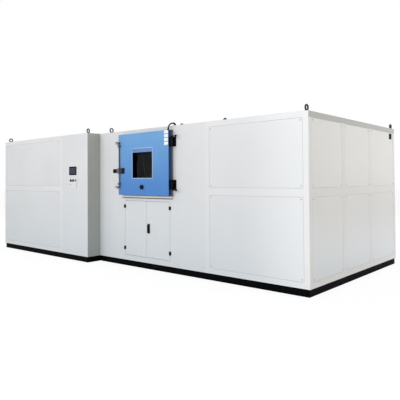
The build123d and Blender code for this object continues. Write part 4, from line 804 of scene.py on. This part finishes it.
@dataclass
class Enclosure:
    """The cladding, the frame, the base and the lifting eyes."""

    screw_radius: float = 0.0065
    screw_height: float = 0.0035
    screw_inset: float = 0.030
    seal_wide: float = 0.006
    seal_proud: float = 0.0012
    seal_corner: float = 0.002
    side_channel: float = 1.0
    flange: float = 0.048
    end_plate: float = 0.004
    end_plate_proud: float = 0.0005
    end_plate_gap: float = 0.001
    end_plate_corner: float = 0.002
    end_plate_edge: float = 0.0008
    eye_ring: float = 0.0335
    eye_rod: float = 0.0115
    eye_collar: float = 0.025
    eye_collar_height: float = 0.012
    eye_box_play: float = 0.0001

    def dress_cad(self) -> None:
        """Gives the cladding and the frame their finishes."""
        dress(PANEL_COAT, "front_sheet", "front_panels")
        dress(WHITE_COAT, "control_column_panel", "partition_panels", "cabinet_left_panels")
        dress(WHITE_COAT, "rear_panels", "rear_louvre", "roof_sheets")
        dress(SIDE_COAT, "right_side_panels")
        dress(FRAME_COAT, "main_frame", "cabinet_frame")
        dress(BLACK_MOULDED, "side_vent")
        dress(GREY_COAT, "cabinet_return_panel")
        dress(BLACK_BASE, "base_frame")
        dress(ZINC, "floor_plates")

    def panels(self) -> list[tuple[Facing, np.ndarray, float, float]]:
        """Finds the outside panels.

        Returns:
            Each panel's facing, the middle of its outer face, its width and its height.
        """
        faces = {
            "front_panels": Facing.FRONT,
            "right_side_panels": Facing.RIGHT,
            "rear_panels": Facing.REAR,
            "cabinet_left_panels": Facing.LEFT,
        }
        found = []
        for node, facing in faces.items():
            across, _, out = np.array(facing.value, float)
            for low, high in piece_boxes(node):
                size = high - low
                middle = (low + high) / 2 + out * (size @ np.abs(out)) / 2
                found.append((facing, middle, size @ np.abs(across), size[2]))
        return found

    def build_screws(self) -> None:
        """Sets a screw in each corner of every outside panel, on the panel's own face."""
        screw = button_screw(self.screw_radius, self.screw_height)
        parts = []
        for facing, middle, width, height in self.panels():
            across, up, _ = np.abs(facing.value)
            reach, rise = width / 2 - self.screw_inset, height / 2 - self.screw_inset
            for a in (-1, 1):
                for b in (-1, 1):
                    parts.append(screw.placed(facing, middle + a * reach * across + b * rise * up))
        stand("panel_screws", joined(parts), "enclosure", SCREW)

    def build_seals(self) -> None:
        """Draws a low bead of sealant into the joint round each outside panel, in a grey that also paints the
        shade of the joint.
        """
        section = ellipse(self.seal_wide / 2, self.seal_proud, 6)
        parts = [
            bead(rounded_outline(width, height, self.seal_corner, 2), section).placed(facing, middle)
            for facing, middle, width, height in self.panels()
        ]
        stand("panel_joint_sealant", joined(parts), "enclosure", SEALANT_AND_GAP_SHADE)

    def build_end_plates(self) -> None:
        """Closes the open ends of the long base channels at the bodies' corners."""
        back = self.end_plate - self.end_plate_proud
        parts = []
        for low, high in piece_boxes("base_frame"):
            if high[0] - low[0] < self.side_channel:
                continue
            tall, z = high[2] - low[2] - self.end_plate_gap, (low[2] + high[2]) / 2
            plate = slab(self.flange, tall, self.end_plate, self.end_plate_corner, self.end_plate_edge)
            for y in (low[1] + self.flange / 2, high[1] - self.flange / 2):
                parts.append(plate.placed(Facing.RIGHT, (high[0] - back, y, z)))
                parts.append(plate.placed(Facing.LEFT, (low[0] + back, y, z)))
        stand("base_end_plates", joined(parts), "enclosure", BLACK_BASE)

    def build_eyes(self) -> None:
        """Forges the lifting eyes: a ring (R + r cos t) about its own axis, on a turned collar."""
        ring = bead(ellipse(self.eye_ring, self.eye_ring, 40), ellipse(self.eye_rod, self.eye_rod, 16))
        c, h = self.eye_collar, self.eye_collar_height
        dome = [(c * 0.96, 0), (c, h * 0.15), (c, h * 0.6), (c * 0.8, h * 0.95), (c * 0.45, h * 1.25)]
        collar = turned(dome, 32)
        parts = []
        for low, high in piece_boxes("eye_bolts"):
            x, y, _ = (low + high) / 2
            wide, deep, _ = high - low
            facing = Facing.RIGHT if wide < deep + self.eye_box_play else Facing.FRONT
            parts.append(collar.placed(Facing.TOP, (x, y, low[2])))
            parts.append(ring.placed(facing, (x, y, high[2] - self.eye_ring - self.eye_rod)))
        eyes = stand("lifting_eyes", joined(parts), "enclosure", FORGED)
        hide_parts("eye_bolts")

    def build(self) -> None:
        """Builds the enclosure."""
        self.dress_cad()
        self.build_screws()
        self.build_seals()
        self.build_end_plates()
        self.build_eyes()


@dataclass
class TestSpace:
    """What the open door shows: the lining, the air path and the floor grid."""

    def build(self) -> None:
        """Dresses the test space."""
        dress(COLLAR, "door_portal")
        dress(FOAM, "chamber_insulation")
        dress(STAINLESS, "chamber_liner", "air_baffle", "circulation_fan", "chamber_shelf")
        dress(FINS, "conditioning_coils")
        dress(MACHINE, "fan_motors")
        dress(ZINC, "chamber_stand")


@dataclass
class ChamberDoor:
    """The blue door with its window, lamp cover, seal and blank plates."""

    plate_count: int = 4
    plate_width: float = 0.084
    plate_height: float = 0.046
    plate_pitch: float = 0.0595
    plate_from_side: float = 0.010
    plate_from_top: float = 0.004
    strip_height: float = 0.0135
    # The depth, the corners' radius and the front edge's radius of a plate, a strip and the lamp cover.
    plate_shape: Point = (0.002, 0.003, 0.0006)
    strip_shape: Point = (0.0018, 0.001, 0.0004)
    cover_shape: Point = (0.004, 0.004, 0.0012)
    trim_wide: float = 0.005
    trim_proud: float = 0.004
    trim_corner: float = 0.006
    cover_wide: float = 0.476
    cover_high: float = 0.060
    seal_wide: float = 0.042
    seal_corner: float = 0.03
    seal_trough: float = 0.55
    seal_lip: float = 0.6

    def dress_cad(self) -> None:
        """Gives the door's layers their finishes."""
        dress(BLUE_COAT, "door_skin")
        dress(FOAM, "door_insulation")
        dress(STAINLESS, "door_liner")
        dress(BLACK_MOULDED, "window_frame", "door_gland")
        dress(GLASS, "window_panes")
        dress(DRIP_COAT, "drip_rail")

    def build_plates(self) -> None:
        """Sets blank plates down the door's top right corner, each with a strip along its foot."""
        low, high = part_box("door_skin")
        x = high.x - self.plate_from_side - self.plate_width / 2
        plate = slab(self.plate_width, self.plate_height, *self.plate_shape)
        strip = slab(self.plate_width, self.strip_height, *self.strip_shape)
        plates, strips = [], []
        for n in range(self.plate_count):
            foot = high.z - self.plate_from_top - n * self.plate_pitch - self.plate_height
            plates.append(plate.placed(Facing.FRONT, (x, low.y, foot + self.plate_height / 2)))
            strips.append(strip.placed(Facing.FRONT, (x, low.y, foot - self.strip_height / 2)))
        stand("blank_door_plates", joined(plates), "chamber_door", PLATE)
        stand("door_plate_strips", joined(strips), "chamber_door", STRIP)

    def build_window(self) -> None:
        """Sets the lamp cover into the head of the window, and a bead round the window's edge."""
        low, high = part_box("window_frame")
        x, _, z = (low + high) / 2
        lamp = max(piece_boxes("window_frame"), key=lambda box: box[0][2])
        cover = slab(self.cover_wide, self.cover_high, *self.cover_shape)
        cover = cover.placed(Facing.FRONT, (x, lamp[0][1], (lamp[0][2] + lamp[1][2]) / 2))
        stand("lamp_cover", cover, "chamber_door", LAMP_COVER)
        edge = rounded_outline(high.x - low.x, high.z - low.z, self.trim_corner)
        ring = bead(edge, ellipse(self.trim_wide, self.trim_proud)).placed(Facing.FRONT, (x, low.y, z))
        stand("window_bead", ring, "chamber_door", BEAD_PAINTED_HIGHLIGHT)

    def build_seal(self) -> None:
        """Carries a seal with two lips round the door's inner face.

        Across its width its height is trough + (1 - trough) |sin s|^lip, over one full wave of s.
        """
        low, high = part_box("door_gasket")
        inner = max(piece_boxes("door_gasket"), key=lambda box: box[1][0] - box[0][0])
        s = np.linspace(-1, 1, 13)
        across = s * self.seal_wide / 2
        rise = self.seal_trough + (1 - self.seal_trough) * np.abs(np.sin(s * math.pi)) ** self.seal_lip
        top = np.stack([across, (high.y - low.y) * rise], axis=1)
        section = np.concatenate([np.stack([across, np.zeros(13)], axis=1), top[::-1]])
        wide, _, tall = inner[1] - inner[0] - self.seal_wide
        ring = bead(rounded_outline(wide, tall, self.seal_corner), section)
        ring = ring.placed(Facing.REAR, ((low.x + high.x) / 2, low.y, (low.z + high.z) / 2))
        seal = stand("door_seal", ring, "chamber_door", SILICONE)
        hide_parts("door_gasket")

    def build(self) -> None:
        """Builds the door."""
        self.dress_cad()
        self.build_plates()
        self.build_window()
        self.build_seal()


@dataclass
class DoorHardware:
    """The hinges, the locking bar with its keepers, and the wiper's knob."""

    axis: tuple[float, float] = (1.3145, -1.4275)
    knuckle: float = 0.014
    knuckle_wrap: float = 0.62 * math.pi
    knuckle_gap: float = 0.0005
    knuckle_edge: float = 0.0008
    neck_share: float = 0.7
    leaf: float = 0.006
    leaf_corner: float = 0.004
    leaf_edge: float = 0.0015
    # The screws of a strap: their places as shares of its height and along its width, and a head's size.
    screw_rows: tuple[float, ...] = (-0.42, -0.2, 0.2, 0.42)
    screw_columns: tuple[float, ...] = (-0.016, 0.012)
    screw_head: tuple[float, float] = (0.0042, 0.0024)
    # A pin's box is wider than this where it has an arm, and stands above this level at the upper hinge.
    arm_least: float = 0.05
    upper_level: float = 1.6
    pin_radius: float = 0.008
    arm_radius: float = 0.0065
    arm_inset: float = 0.014
    crank: float = 0.03
    ball_radius: float = 0.018
    ball_x: float = 1.4085
    bar: tuple[float, float] = (0.1145, -1.4795)
    bar_radius: float = 0.0085
    hook_radius: float = 0.0068
    hook_collar: float = 0.015
    hook_collar_half: float = 0.009
    hook_collar_edge: float = 0.0015
    hook_inset: float = 0.007
    # The guide points of a hook's arm, from the rod to the keeper: out, back to the wall, and up.
    hook_guide: tuple[Point, ...] = (
        (0, 0, 0),
        (-0.05, -0.012, 0.004),
        (-0.085, -0.006, 0.022),
        (-0.12, 0.012, 0.006),
        (-0.148, 0.045, 0),
        (-0.163, 0.064, -0.002),
    )
    hub_corner: float = 0.008
    hub_edge: float = 0.001
    grip_height: float = 0.070
    grip_neck: float = 0.060
    grip_edge: float = 0.004
    # Along the grip, from -1 to 1: where it steps down to its neck and how fast, and its rounded far end.
    grip_step: tuple[float, float] = (0.45, 5.0)
    grip_round: tuple[float, float, float] = (0.8, 4.4, 0.95)
    knob_radius: float = 0.035
    knob_depth: float = 0.030
    knob_lobes: int = 5
    knob_wave: float = 0.09
    knob_turn: float = 0.6
    # The grip's rings from its foot to its hollow: how far in, and how high as a share of the depth.
    knob_insets: tuple[float, ...] = (0.006, 0.001, 0, 0, 0.002, 0.006, 0.012, 0.016)
    knob_heights: tuple[float, ...] = (0.25, 0.4, 0.55, 0.85, 0.95, 1, 1, 0.93)

    def dress_cad(self) -> None:
        """Gives the carried-over hardware its finishes."""
        dress(BLACK_CAST, "hinge_brackets")
        dress(BAR_BRACKET, "locking_bar_guides")
        dress(KEEPER, "locking_keepers")
        dress(PALE_WIPER, "wiper_arm")

    def build_straps(self) -> None:
        """Sets each strap on the door's side: a leaf with screws, and a knuckle joined to it by a neck."""
        x, y = self.axis
        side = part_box("door_skin")[1].x
        turn = np.linspace(-self.knuckle_wrap, self.knuckle_wrap, 20)
        circle = self.knuckle * np.stack([np.cos(turn), np.sin(turn)], axis=1)
        neck, half_neck = side + self.leaf / 2 - x, self.knuckle * self.neck_share
        outline = np.concatenate([circle, [[neck, half_neck], [neck, -half_neck]]])
        screw = button_screw(*self.screw_head)
        parts, screws = [], []
        for low, high in piece_boxes("chamber_hinge_straps"):
            tall, middle = high[2] - low[2], (low[2] + high[2]) / 2
            front = low[1] + self.leaf
            along = (front + high[1]) / 2
            leaf = slab(high[1] - front, tall, self.leaf, self.leaf_corner, self.leaf_edge)
            parts.append(leaf.placed(Facing.RIGHT, (side, along, middle)))
            knuckle = chamfered(outline, tall / 6 - self.knuckle_gap, self.knuckle_edge)
            parts.append(knuckle.placed(Facing.TOP, (x, y, middle)))
            for row in self.screw_rows:
                for column in self.screw_columns:
                    place = (side + self.leaf, along + column, middle + row * tall)
                    screws.append(screw.placed(Facing.RIGHT, place))
        straps = stand("hinge_straps", joined(parts), "chamber_door", BLACK_CAST)
        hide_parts("chamber_hinge_straps")
        stand("hinge_strap_screws", joined(screws), "chamber_door", SCREW)

    def build_pins(self) -> None:
        """Turns the pins: the two large ones end in a cranked arm with a ball, the small ones are plain."""
        x, y = self.axis
        p, a = self.pin_radius, self.arm_radius
        radius = np.interp(np.arange(40), [0, 1, 14, 24, 39], [p * 0.8, p, p, a, a * 1.3])
        parts = []
        for low, high in piece_boxes("hinge_pins"):
            middle, size = (low + high) / 2, high - low
            if size[0] < self.arm_least:
                plain = pin(size[0] / 2, size[2], 0.3, 16)
                parts.append(plain.placed(Facing.TOP, (middle[0], middle[1], low[2])))
                continue
            end, arm = high[2], low[2] + self.arm_inset
            if low[2] > self.upper_level:
                end, arm = low[2], high[2] - self.arm_inset
            guide = [(x, y, z) for z in (end, (arm * 2 + end) / 3, arm, arm)]
            guide += [(x + self.crank, y, arm), (self.ball_x, y, arm)]
            parts.append(hose(bent(guide, 40), radius, (0, 1, 0)))
            parts.append(ball(self.ball_radius).placed(Facing.TOP, (self.ball_x, y, arm)))
        pins = stand("hinge_pull_pins", joined(parts), "enclosure", BLACK_CAST)
        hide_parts("hinge_pins")

    def hook(self, level: float) -> list[Surface]:
        """Forges a hook: a collar on the rod, and a round arm that bends back to the wall and gets thinner.

        Args:
            level: Its height on the rod.

        Returns:
            The collar and the arm.
        """
        x, y = self.bar
        path = bent([(x + a, y + b, level + c) for a, b, c in self.hook_guide], 30)
        radius = np.linspace(self.hook_radius * 1.15, self.hook_radius * 0.75, 30)
        c, half = self.hook_collar, self.hook_collar_half
        straight = half - self.hook_collar_edge
        collar = turned([(c * 0.9, -half), (c, -straight), (c, straight), (c * 0.9, half)], 20)
        return [hose(path, radius, (0, 0, 1), 14), collar.placed(Facing.TOP, (x, y, level))]

    def build_bar(self) -> None:
        """Builds the locking bar: the rod with its two hooks, and the hub."""
        (low, high), *others = sorted(piece_boxes("locking_bar"), key=lambda box: box[0][2] - box[1][2])
        lever, hub = sorted(others[:2], key=lambda box: box[0][0])
        parts = [pin(self.bar_radius, high[2] - low[2], 0.4, 20).placed(Facing.TOP, (*self.bar, low[2]))]
        parts += self.hook(low[2] + self.hook_inset) + self.hook(high[2] - self.hook_inset)
        bar = stand("locking_rod", joined(parts), "locking_bar", ROD)
        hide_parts("locking_bar")
        wide, deep, tall = hub[1] - hub[0]
        body = chamfered(rounded_outline(wide, deep, self.hub_corner), tall / 2, self.hub_edge)
        body = body.placed(Facing.TOP, (hub[0] + hub[1]) / 2)
        stand("locking_hub", body, "locking_bar", HUB)
        self.build_grip(lever)

    def build_grip(self, lever: np.ndarray) -> None:
        """Moulds the grip on the lever.

        Its half height steps from the grip to its neck along a tanh, and its far end is part of a circle.

        Args:
            lever: The box of the lever's own solid, low corner first.
        """
        wide, depth, _ = lever[1] - lever[0]
        at, rate = self.grip_step
        start, grow, most = self.grip_round
        t = np.linspace(-1, 1, 15)
        step = 0.5 - 0.5 * np.tanh((t - at) * rate)
        half = self.grip_neck / 2 + (self.grip_height - self.grip_neck) / 2 * step
        bow = np.sqrt(1 - np.clip((-t - start) * grow, 0, most) ** 2)
        top = np.stack([t * wide / 2, half * bow], axis=1)
        outline = np.concatenate([top[::-1], top * [1, -1]])
        d, e = depth / 2, self.grip_edge
        rise = [(e, -d), (e * 0.3, e * 0.3 - d), (0, e - d)]
        grip = raised(outline, rise + [(inset, -z) for inset, z in rise[::-1]])
        grip = grip.placed(Facing.FRONT, (lever[0] + lever[1]) / 2)
        stand("lever_grip", grip, "locking_bar", BLACK_MOULDED)

    def build_knob(self) -> None:
        """Moulds the wiper's knob: a round foot under a hollowed grip, of radius r (1 + 0.09 cos 5a)."""
        low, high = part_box("wiper_knob")
        r, d = self.knob_radius, self.knob_depth
        rim = ellipse(r, r, 60)
        angle = np.linspace(0, TAU, 60, endpoint=False)
        rim *= 1 + self.knob_wave * np.cos(self.knob_lobes * angle + self.knob_turn)[:, None]
        rings = zip(self.knob_insets, self.knob_heights)
        grip = raised(rim, [(inset, d * share) for inset, share in rings])
        foot = [(r * 0.92, 0), (r, d * 0.04), (r, d * 0.14), (r * 0.9, d * 0.2), (r * 0.7, d * 0.27)]
        knob = joined([turned(foot, 40), grip])
        knob = knob.placed(Facing.FRONT, ((low.x + high.x) / 2, high.y, (low.z + high.z) / 2))
        knob = stand("wiper_grip", knob, "wiper", NAVY_KNOB)
        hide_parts("wiper_knob")

    def build(self) -> None:
        """Builds the door's hardware."""
        self.dress_cad()
        self.build_straps()
        self.build_pins()
        self.build_bar()
        self.build_knob()


@dataclass
class DoorConduit:
    """The flexible conduit from the door's top edge over the roof's front edge."""

    diameter: float = 0.022
    rib_pitch: float = 0.0055
    rib_depth: float = 0.0008
    # The route's points, as the CAD source has them, drawn over to the photograph's lower arc.
    route: tuple[Point, ...] = (
        (1.2465, -1.4275, 2.2493),
        (1.2475, -1.4260, 2.2700),
        (1.2550, -1.4130, 2.3060),
        (1.2690, -1.3890, 2.3325),
        (1.2825, -1.3650, 2.3370),
        (1.2909, -1.3507, 2.3355),
    )
    # A direction level and square to the route.
    across: Point = (0.87, -0.5, 0)
    boot_radius: float = 0.0138
    boot_mouth: float = 0.0122
    boot_foot: float = 0.019
    boot_overlap: float = 0.012
    boot_turn: float = 0.7
    boot_low: float = 2.312
    flange_radius: float = 0.024

    def line(self) -> np.ndarray:
        """Reads the smooth line that follows the route.

        Returns:
            Points (n, 3) along a quadratic spline with the route's points as its control points.
        """
        curve = bpy.data.curves.new("conduit_line", "CURVE")
        curve.dimensions = "3D"
        curve.resolution_u = 24
        spline = curve.splines.new("NURBS")
        spline.points.add(len(self.route) - 1)
        spline.points.foreach_set("co", np.column_stack([self.route, np.ones(len(self.route))]).ravel())
        spline.order_u = 3
        spline.use_endpoint_u = True
        thing = bpy.data.objects.new("conduit_line", curve)
        bpy.context.scene.collection.objects.link(thing)
        bpy.context.view_layer.update()
        mesh = bpy.data.meshes.new_from_object(thing)
        points = np.empty(len(mesh.vertices) * 3)
        mesh.vertices.foreach_get("co", points)
        bpy.data.objects.remove(thing)
        bpy.data.curves.remove(curve)
        bpy.data.meshes.remove(mesh)
        return points.reshape(-1, 3)

    def build_hose(self) -> None:
        """Builds the conduit: a tube whose radius rises and falls by a cosine along its length."""
        line = self.line()
        length = np.concatenate([[0], np.cumsum(np.linalg.norm(np.diff(line, axis=0), axis=1))])
        along = np.linspace(0, length[-1], 170)
        path = np.stack([np.interp(along, length, line[:, n]) for n in range(3)], axis=1)
        radius = self.diameter / 2 - self.rib_depth * (0.5 - 0.5 * np.cos(along / self.rib_pitch * TAU))
        surface = hose(path, radius, self.across)
        tube = stand("conduit_hose", surface, None, BLACK_MOULDED)
        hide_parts("door_conduit")
        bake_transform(tube)

    def build_boot(self) -> None:
        """Builds the boot that takes the conduit's end: a bent tube that widens to its foot, on a flange."""
        low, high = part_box("roof_gland")
        x, y = (low.x + high.x) / 2, (low.y + high.y) / 2
        end = Vector(self.route[-1])
        start = end - (end - Vector(self.route[-2])).normalized() * self.boot_overlap
        over = end.lerp(Vector((x, y, end.z)), self.boot_turn)
        guide = [tuple(start), tuple(end), tuple(over)]
        guide += [(x, y, z) for z in (end.z, self.boot_low, low.z + MM)]
        widths = [self.boot_mouth, self.boot_radius, self.boot_radius, self.boot_foot]
        boot = hose(bent(guide, 20), np.interp(np.arange(20), [0, 2, 12, 19], widths), self.across)
        f = self.flange_radius
        flange = turned([(f, 0.0), (f, 0.003), (f * 0.93, 0.005), (f * 0.7, 0.006)], 28)
        parts = [boot, flange.placed(Facing.TOP, (x, y, low.z))]
        gland = stand("roof_boot", joined(parts), "enclosure", BLACK_MOULDED)
        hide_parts("roof_gland")

    def build(self) -> None:
        """Builds the conduit and its boot."""
        self.build_hose()
        self.build_boot()


@dataclass
class ServiceDoors:
    """The two leaves under the test space, with their swing handle."""

    def build(self) -> None:
        """Dresses the leaves and the handle."""
        dress(LEAF_COAT, "service_door_left", "service_door_right")
        dress(BLACK_CAST, "swing_handle_base", "swing_handle_lock", "swing_handle_lever")


@dataclass
class OperatorControls:
    """The screen and the raised plate with its switch, stop button, port flap and lock."""

    rim_wide: float = 0.005
    rim_proud: float = 0.004
    rim_corner: float = 0.006
    collar_wide: float = 0.007
    collar_high: float = 0.0025
    collar_play: float = 0.0006
    lock_play: float = 0.0005

    def dress_cad(self, lock: np.ndarray) -> None:
        """Gives the controls their finishes, with the lock's face in dark steel.

        Args:
            lock: The box of the lock's own solid, low corner first.
        """
        front = Limit(Axis.Y, lock[1][1] - self.lock_play, above=False)
        left = Limit(Axis.X, lock[1][0] + 2 * self.lock_play, above=False)
        dress(replace(CONTROL_WHITE, inlays=(Inlay("#33363A", 0.4, 0.6, (front, left)),)), "control_plate")
        dress(BLACK_MOULDED, "hmi_housing", "power_switch", "port_cover")
        dress(SCREEN, "hmi_screen")
        dress(RED, "stop_button")

    def build_collars(self, face: float) -> None:
        """Turns the black nuts that hold the switch and the stop button to their plate.

        Args:
            face: Where the plate's face lies along Y.
        """
        w, h = self.collar_wide - self.collar_play, self.collar_high
        section = np.array([(0.0, 0.0), (w, 0.0), (w, h * 0.6), (w - h * 0.4, h), (0.0, h)])
        parts = []
        for node in ("power_switch", "stop_button"):
            low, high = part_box(node)
            hole = (high.z - low.z) / 2 + self.collar_play
            place = ((low.x + high.x) / 2, face, (low.z + high.z) / 2)
            parts.append(bead(ellipse(hole, hole, 32), section).placed(Facing.FRONT, place))
        stand("control_collars", joined(parts), "enclosure", BLACK_MOULDED)

    def build_rim(self) -> None:
        """Carries a white rim round the screen's bezel."""
        low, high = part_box("hmi_housing")
        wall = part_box("control_column_panel")[0].y
        wide, tall = high.x - low.x + 2 * self.rim_wide, high.z - low.z + 2 * self.rim_wide
        rim = bead(rounded_outline(wide, tall, self.rim_corner), ellipse(self.rim_wide, self.rim_proud))
        rim = rim.placed(Facing.FRONT, ((low.x + high.x) / 2, wall, (low.z + high.z) / 2))
        stand("screen_rim", rim, "enclosure", WHITE_RIM)

    def build(self) -> None:
        """Builds the controls."""
        lock = min(piece_boxes("control_plate"), key=lambda box: box[1][0] - box[0][0])
        self.dress_cad(lock)
        self.build_collars(lock[1][1])
        self.build_rim()


@dataclass
class Machinery:
    """What stands inside the machine cabinet and behind the service doors."""

    def build(self) -> None:
        """Dresses the machinery."""
        dress(MACHINE, "refrigeration_set")
        dress(FINS, "condenser")
        dress(BLACK_MOULDED, "condenser_fan_lower", "condenser_fan_upper")
        dress(ZINC, "electrical_plate")
        dress(TANK, "water_tank")


# Studio


@dataclass(frozen=True)
class Lamp:
    """A soft square lamp: where it stands, what it faces, the length of its sides and its power in watts."""

    name: str
    place: Point
    target: Point
    size: float
    watts: float

    def build(self) -> None:
        """Adds the lamp."""
        data = bpy.data.lights.new(self.name, "AREA")
        data.size = self.size
        data.energy = self.watts
        thing = bpy.data.objects.new(self.name, data)
        aim = (Vector(self.target) - Vector(self.place)).to_track_quat("-Z", "Y")
        thing.matrix_world = Matrix.Translation(self.place) @ aim.to_matrix().to_4x4()
        bpy.context.scene.collection.objects.link(thing)


LAMPS = (
    Lamp("front_softbox", (3.8, -8.5, 2.8), (2.4, -1.4, 1.0), 5.0, 172),
    Lamp("cabinet_softbox", (-2.4, -8.5, 5.2), (-1.5, -1.6, 1.5), 4.0, 180),
    Lamp("right_softbox", (10.0, 3.6, 4.4), (3.6, 0.9, 1.2), 5.0, 215),
    Lamp("rear_softbox", (-1.0, 10.0, 6.0), (0.0, 1.6, 1.2), 6.0, 260),
    Lamp("left_softbox", (-10.5, 1.4, 4.0), (-3.6, 0.6, 1.2), 4.0, 170),
    Lamp("roof_softbox", (0.3, 1.0, 8.0), (0.3, 0.6, 2.3), 3.0, 150),
)


@dataclass
class Studio:
    """The camera at the photograph's angle, the pale floor and the plain lights."""

    place: Point = (6.3710, -6.5322, 1.4560)
    yaw: float = math.radians(41.2266)
    pitch: float = math.radians(1.1893)
    roll: float = math.radians(-0.3862)
    focal_px: float = 465.54
    centre_row: float = 169.886
    image_px: float = 400.0
    sensor_mm: float = 36.0
    far_end: float = 200.0
    sky: str = "#F8F8F7"
    sky_strength: float = 0.58
    floor: str = "#F0F1F2"
    floor_reach: float = 60.0
    # How white the floor is to the camera, and which share of that shows over its shadow.
    floor_glow: float = 1.04
    floor_share: float = 0.86

    def build_camera(self) -> None:
        """Sets the camera: it looks along its yaw and pitch, and the roll turns it about that line."""
        level = math.cos(self.pitch)
        ahead = Vector((-math.sin(self.yaw) * level, math.cos(self.yaw) * level, math.sin(self.pitch)))
        side = ahead.cross(Vector((0, 0, 1))).normalized()
        over = side.cross(ahead)
        right = side * math.cos(self.roll) + over * math.sin(self.roll)
        up = over * math.cos(self.roll) - side * math.sin(self.roll)
        data = bpy.data.cameras.new("camera")
        data.sensor_width = self.sensor_mm
        data.lens = self.focal_px * self.sensor_mm / self.image_px
        data.shift_y = (self.centre_row - self.image_px / 2) / self.image_px
        data.clip_end = self.far_end
        camera = bpy.data.objects.new("camera", data)
        turn = Matrix((right, up, -ahead)).transposed().to_4x4()
        camera.matrix_world = Matrix.Translation(self.place) @ turn
        bpy.context.scene.collection.objects.link(camera)
        bpy.context.scene.camera = camera

    def build_world(self) -> None:
        """Sets a plain pale sky that is white to the camera, in reflections and through glass."""
        world = bpy.data.worlds.new("studio")
        bpy.context.scene.world = world
        tree = empty_tree(world)
        rays = add_node(tree, "ShaderNodeLightPath").outputs
        either = {0: rays["Is Camera Ray"], 1: rays["Is Glossy Ray"]}
        seen = add_node(tree, "ShaderNodeMath", either, operation="MAXIMUM").outputs[0]
        either = {0: seen, 1: rays["Is Transmission Ray"]}
        seen = add_node(tree, "ShaderNodeMath", either, operation="MAXIMUM").outputs[0]
        light = {"Color": linear(self.sky), "Strength": self.sky_strength}
        dim = add_node(tree, "ShaderNodeBackground", light).outputs[0]
        white = add_node(tree, "ShaderNodeBackground", {"Color": (1, 1, 1, 1), "Strength": 1.0}).outputs[0]
        both = add_node(tree, "ShaderNodeMixShader", {0: seen, 1: dim, 2: white}).outputs[0]
        add_node(tree, "ShaderNodeOutputWorld", {"Surface": both})

    def build_floor(self) -> None:
        """Lays a pale floor that is nearly white to the camera and keeps a soft shadow."""
        r = self.floor_reach
        mesh = bpy.data.meshes.new("studio_floor")
        mesh.from_pydata([(-r, -r, 0), (r, -r, 0), (r, r, 0), (-r, r, 0)], [], [(0, 1, 2, 3)])
        floor = bpy.data.objects.new("studio_floor", mesh)
        bpy.context.scene.collection.objects.link(floor)
        material = bpy.data.materials.new("pale_floor")
        tree = empty_tree(material)
        rays = add_node(tree, "ShaderNodeLightPath").outputs
        matt = add_node(tree, "ShaderNodeBsdfDiffuse", {"Color": linear(self.floor)}).outputs[0]
        glow = {"Color": (1, 1, 1, 1), "Strength": self.floor_glow}
        white = add_node(tree, "ShaderNodeEmission", glow).outputs[0]
        part = {0: rays["Is Camera Ray"], 1: self.floor_share}
        share = add_node(tree, "ShaderNodeMath", part, operation="MULTIPLY").outputs[0]
        both = add_node(tree, "ShaderNodeMixShader", {0: share, 1: matt, 2: white}).outputs[0]
        add_node(tree, "ShaderNodeOutputMaterial", {"Surface": both})
        mesh.materials.append(material)

    def build(self) -> None:
        """Builds the studio."""
        self.build_camera()
        self.build_world()
        self.build_floor()
        for lamp in LAMPS:
            lamp.build()
        bpy.context.scene.view_settings.view_transform = "Standard"


def main() -> None:
    """Builds the scene in order."""
    logging.basicConfig(level=logging.INFO, format="%(message)s")
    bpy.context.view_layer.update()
    # The camera and the cord come first.
    assemblies = (Studio(), DoorConduit(), Enclosure(), TestSpace(), ChamberDoor())
    assemblies += (DoorHardware(), ServiceDoors(), OperatorControls(), Machinery())
    for assembly in assemblies:
        assembly.build()
        log.info("finished %s", type(assembly).__name__)


if __name__ == "__main__":
    main()
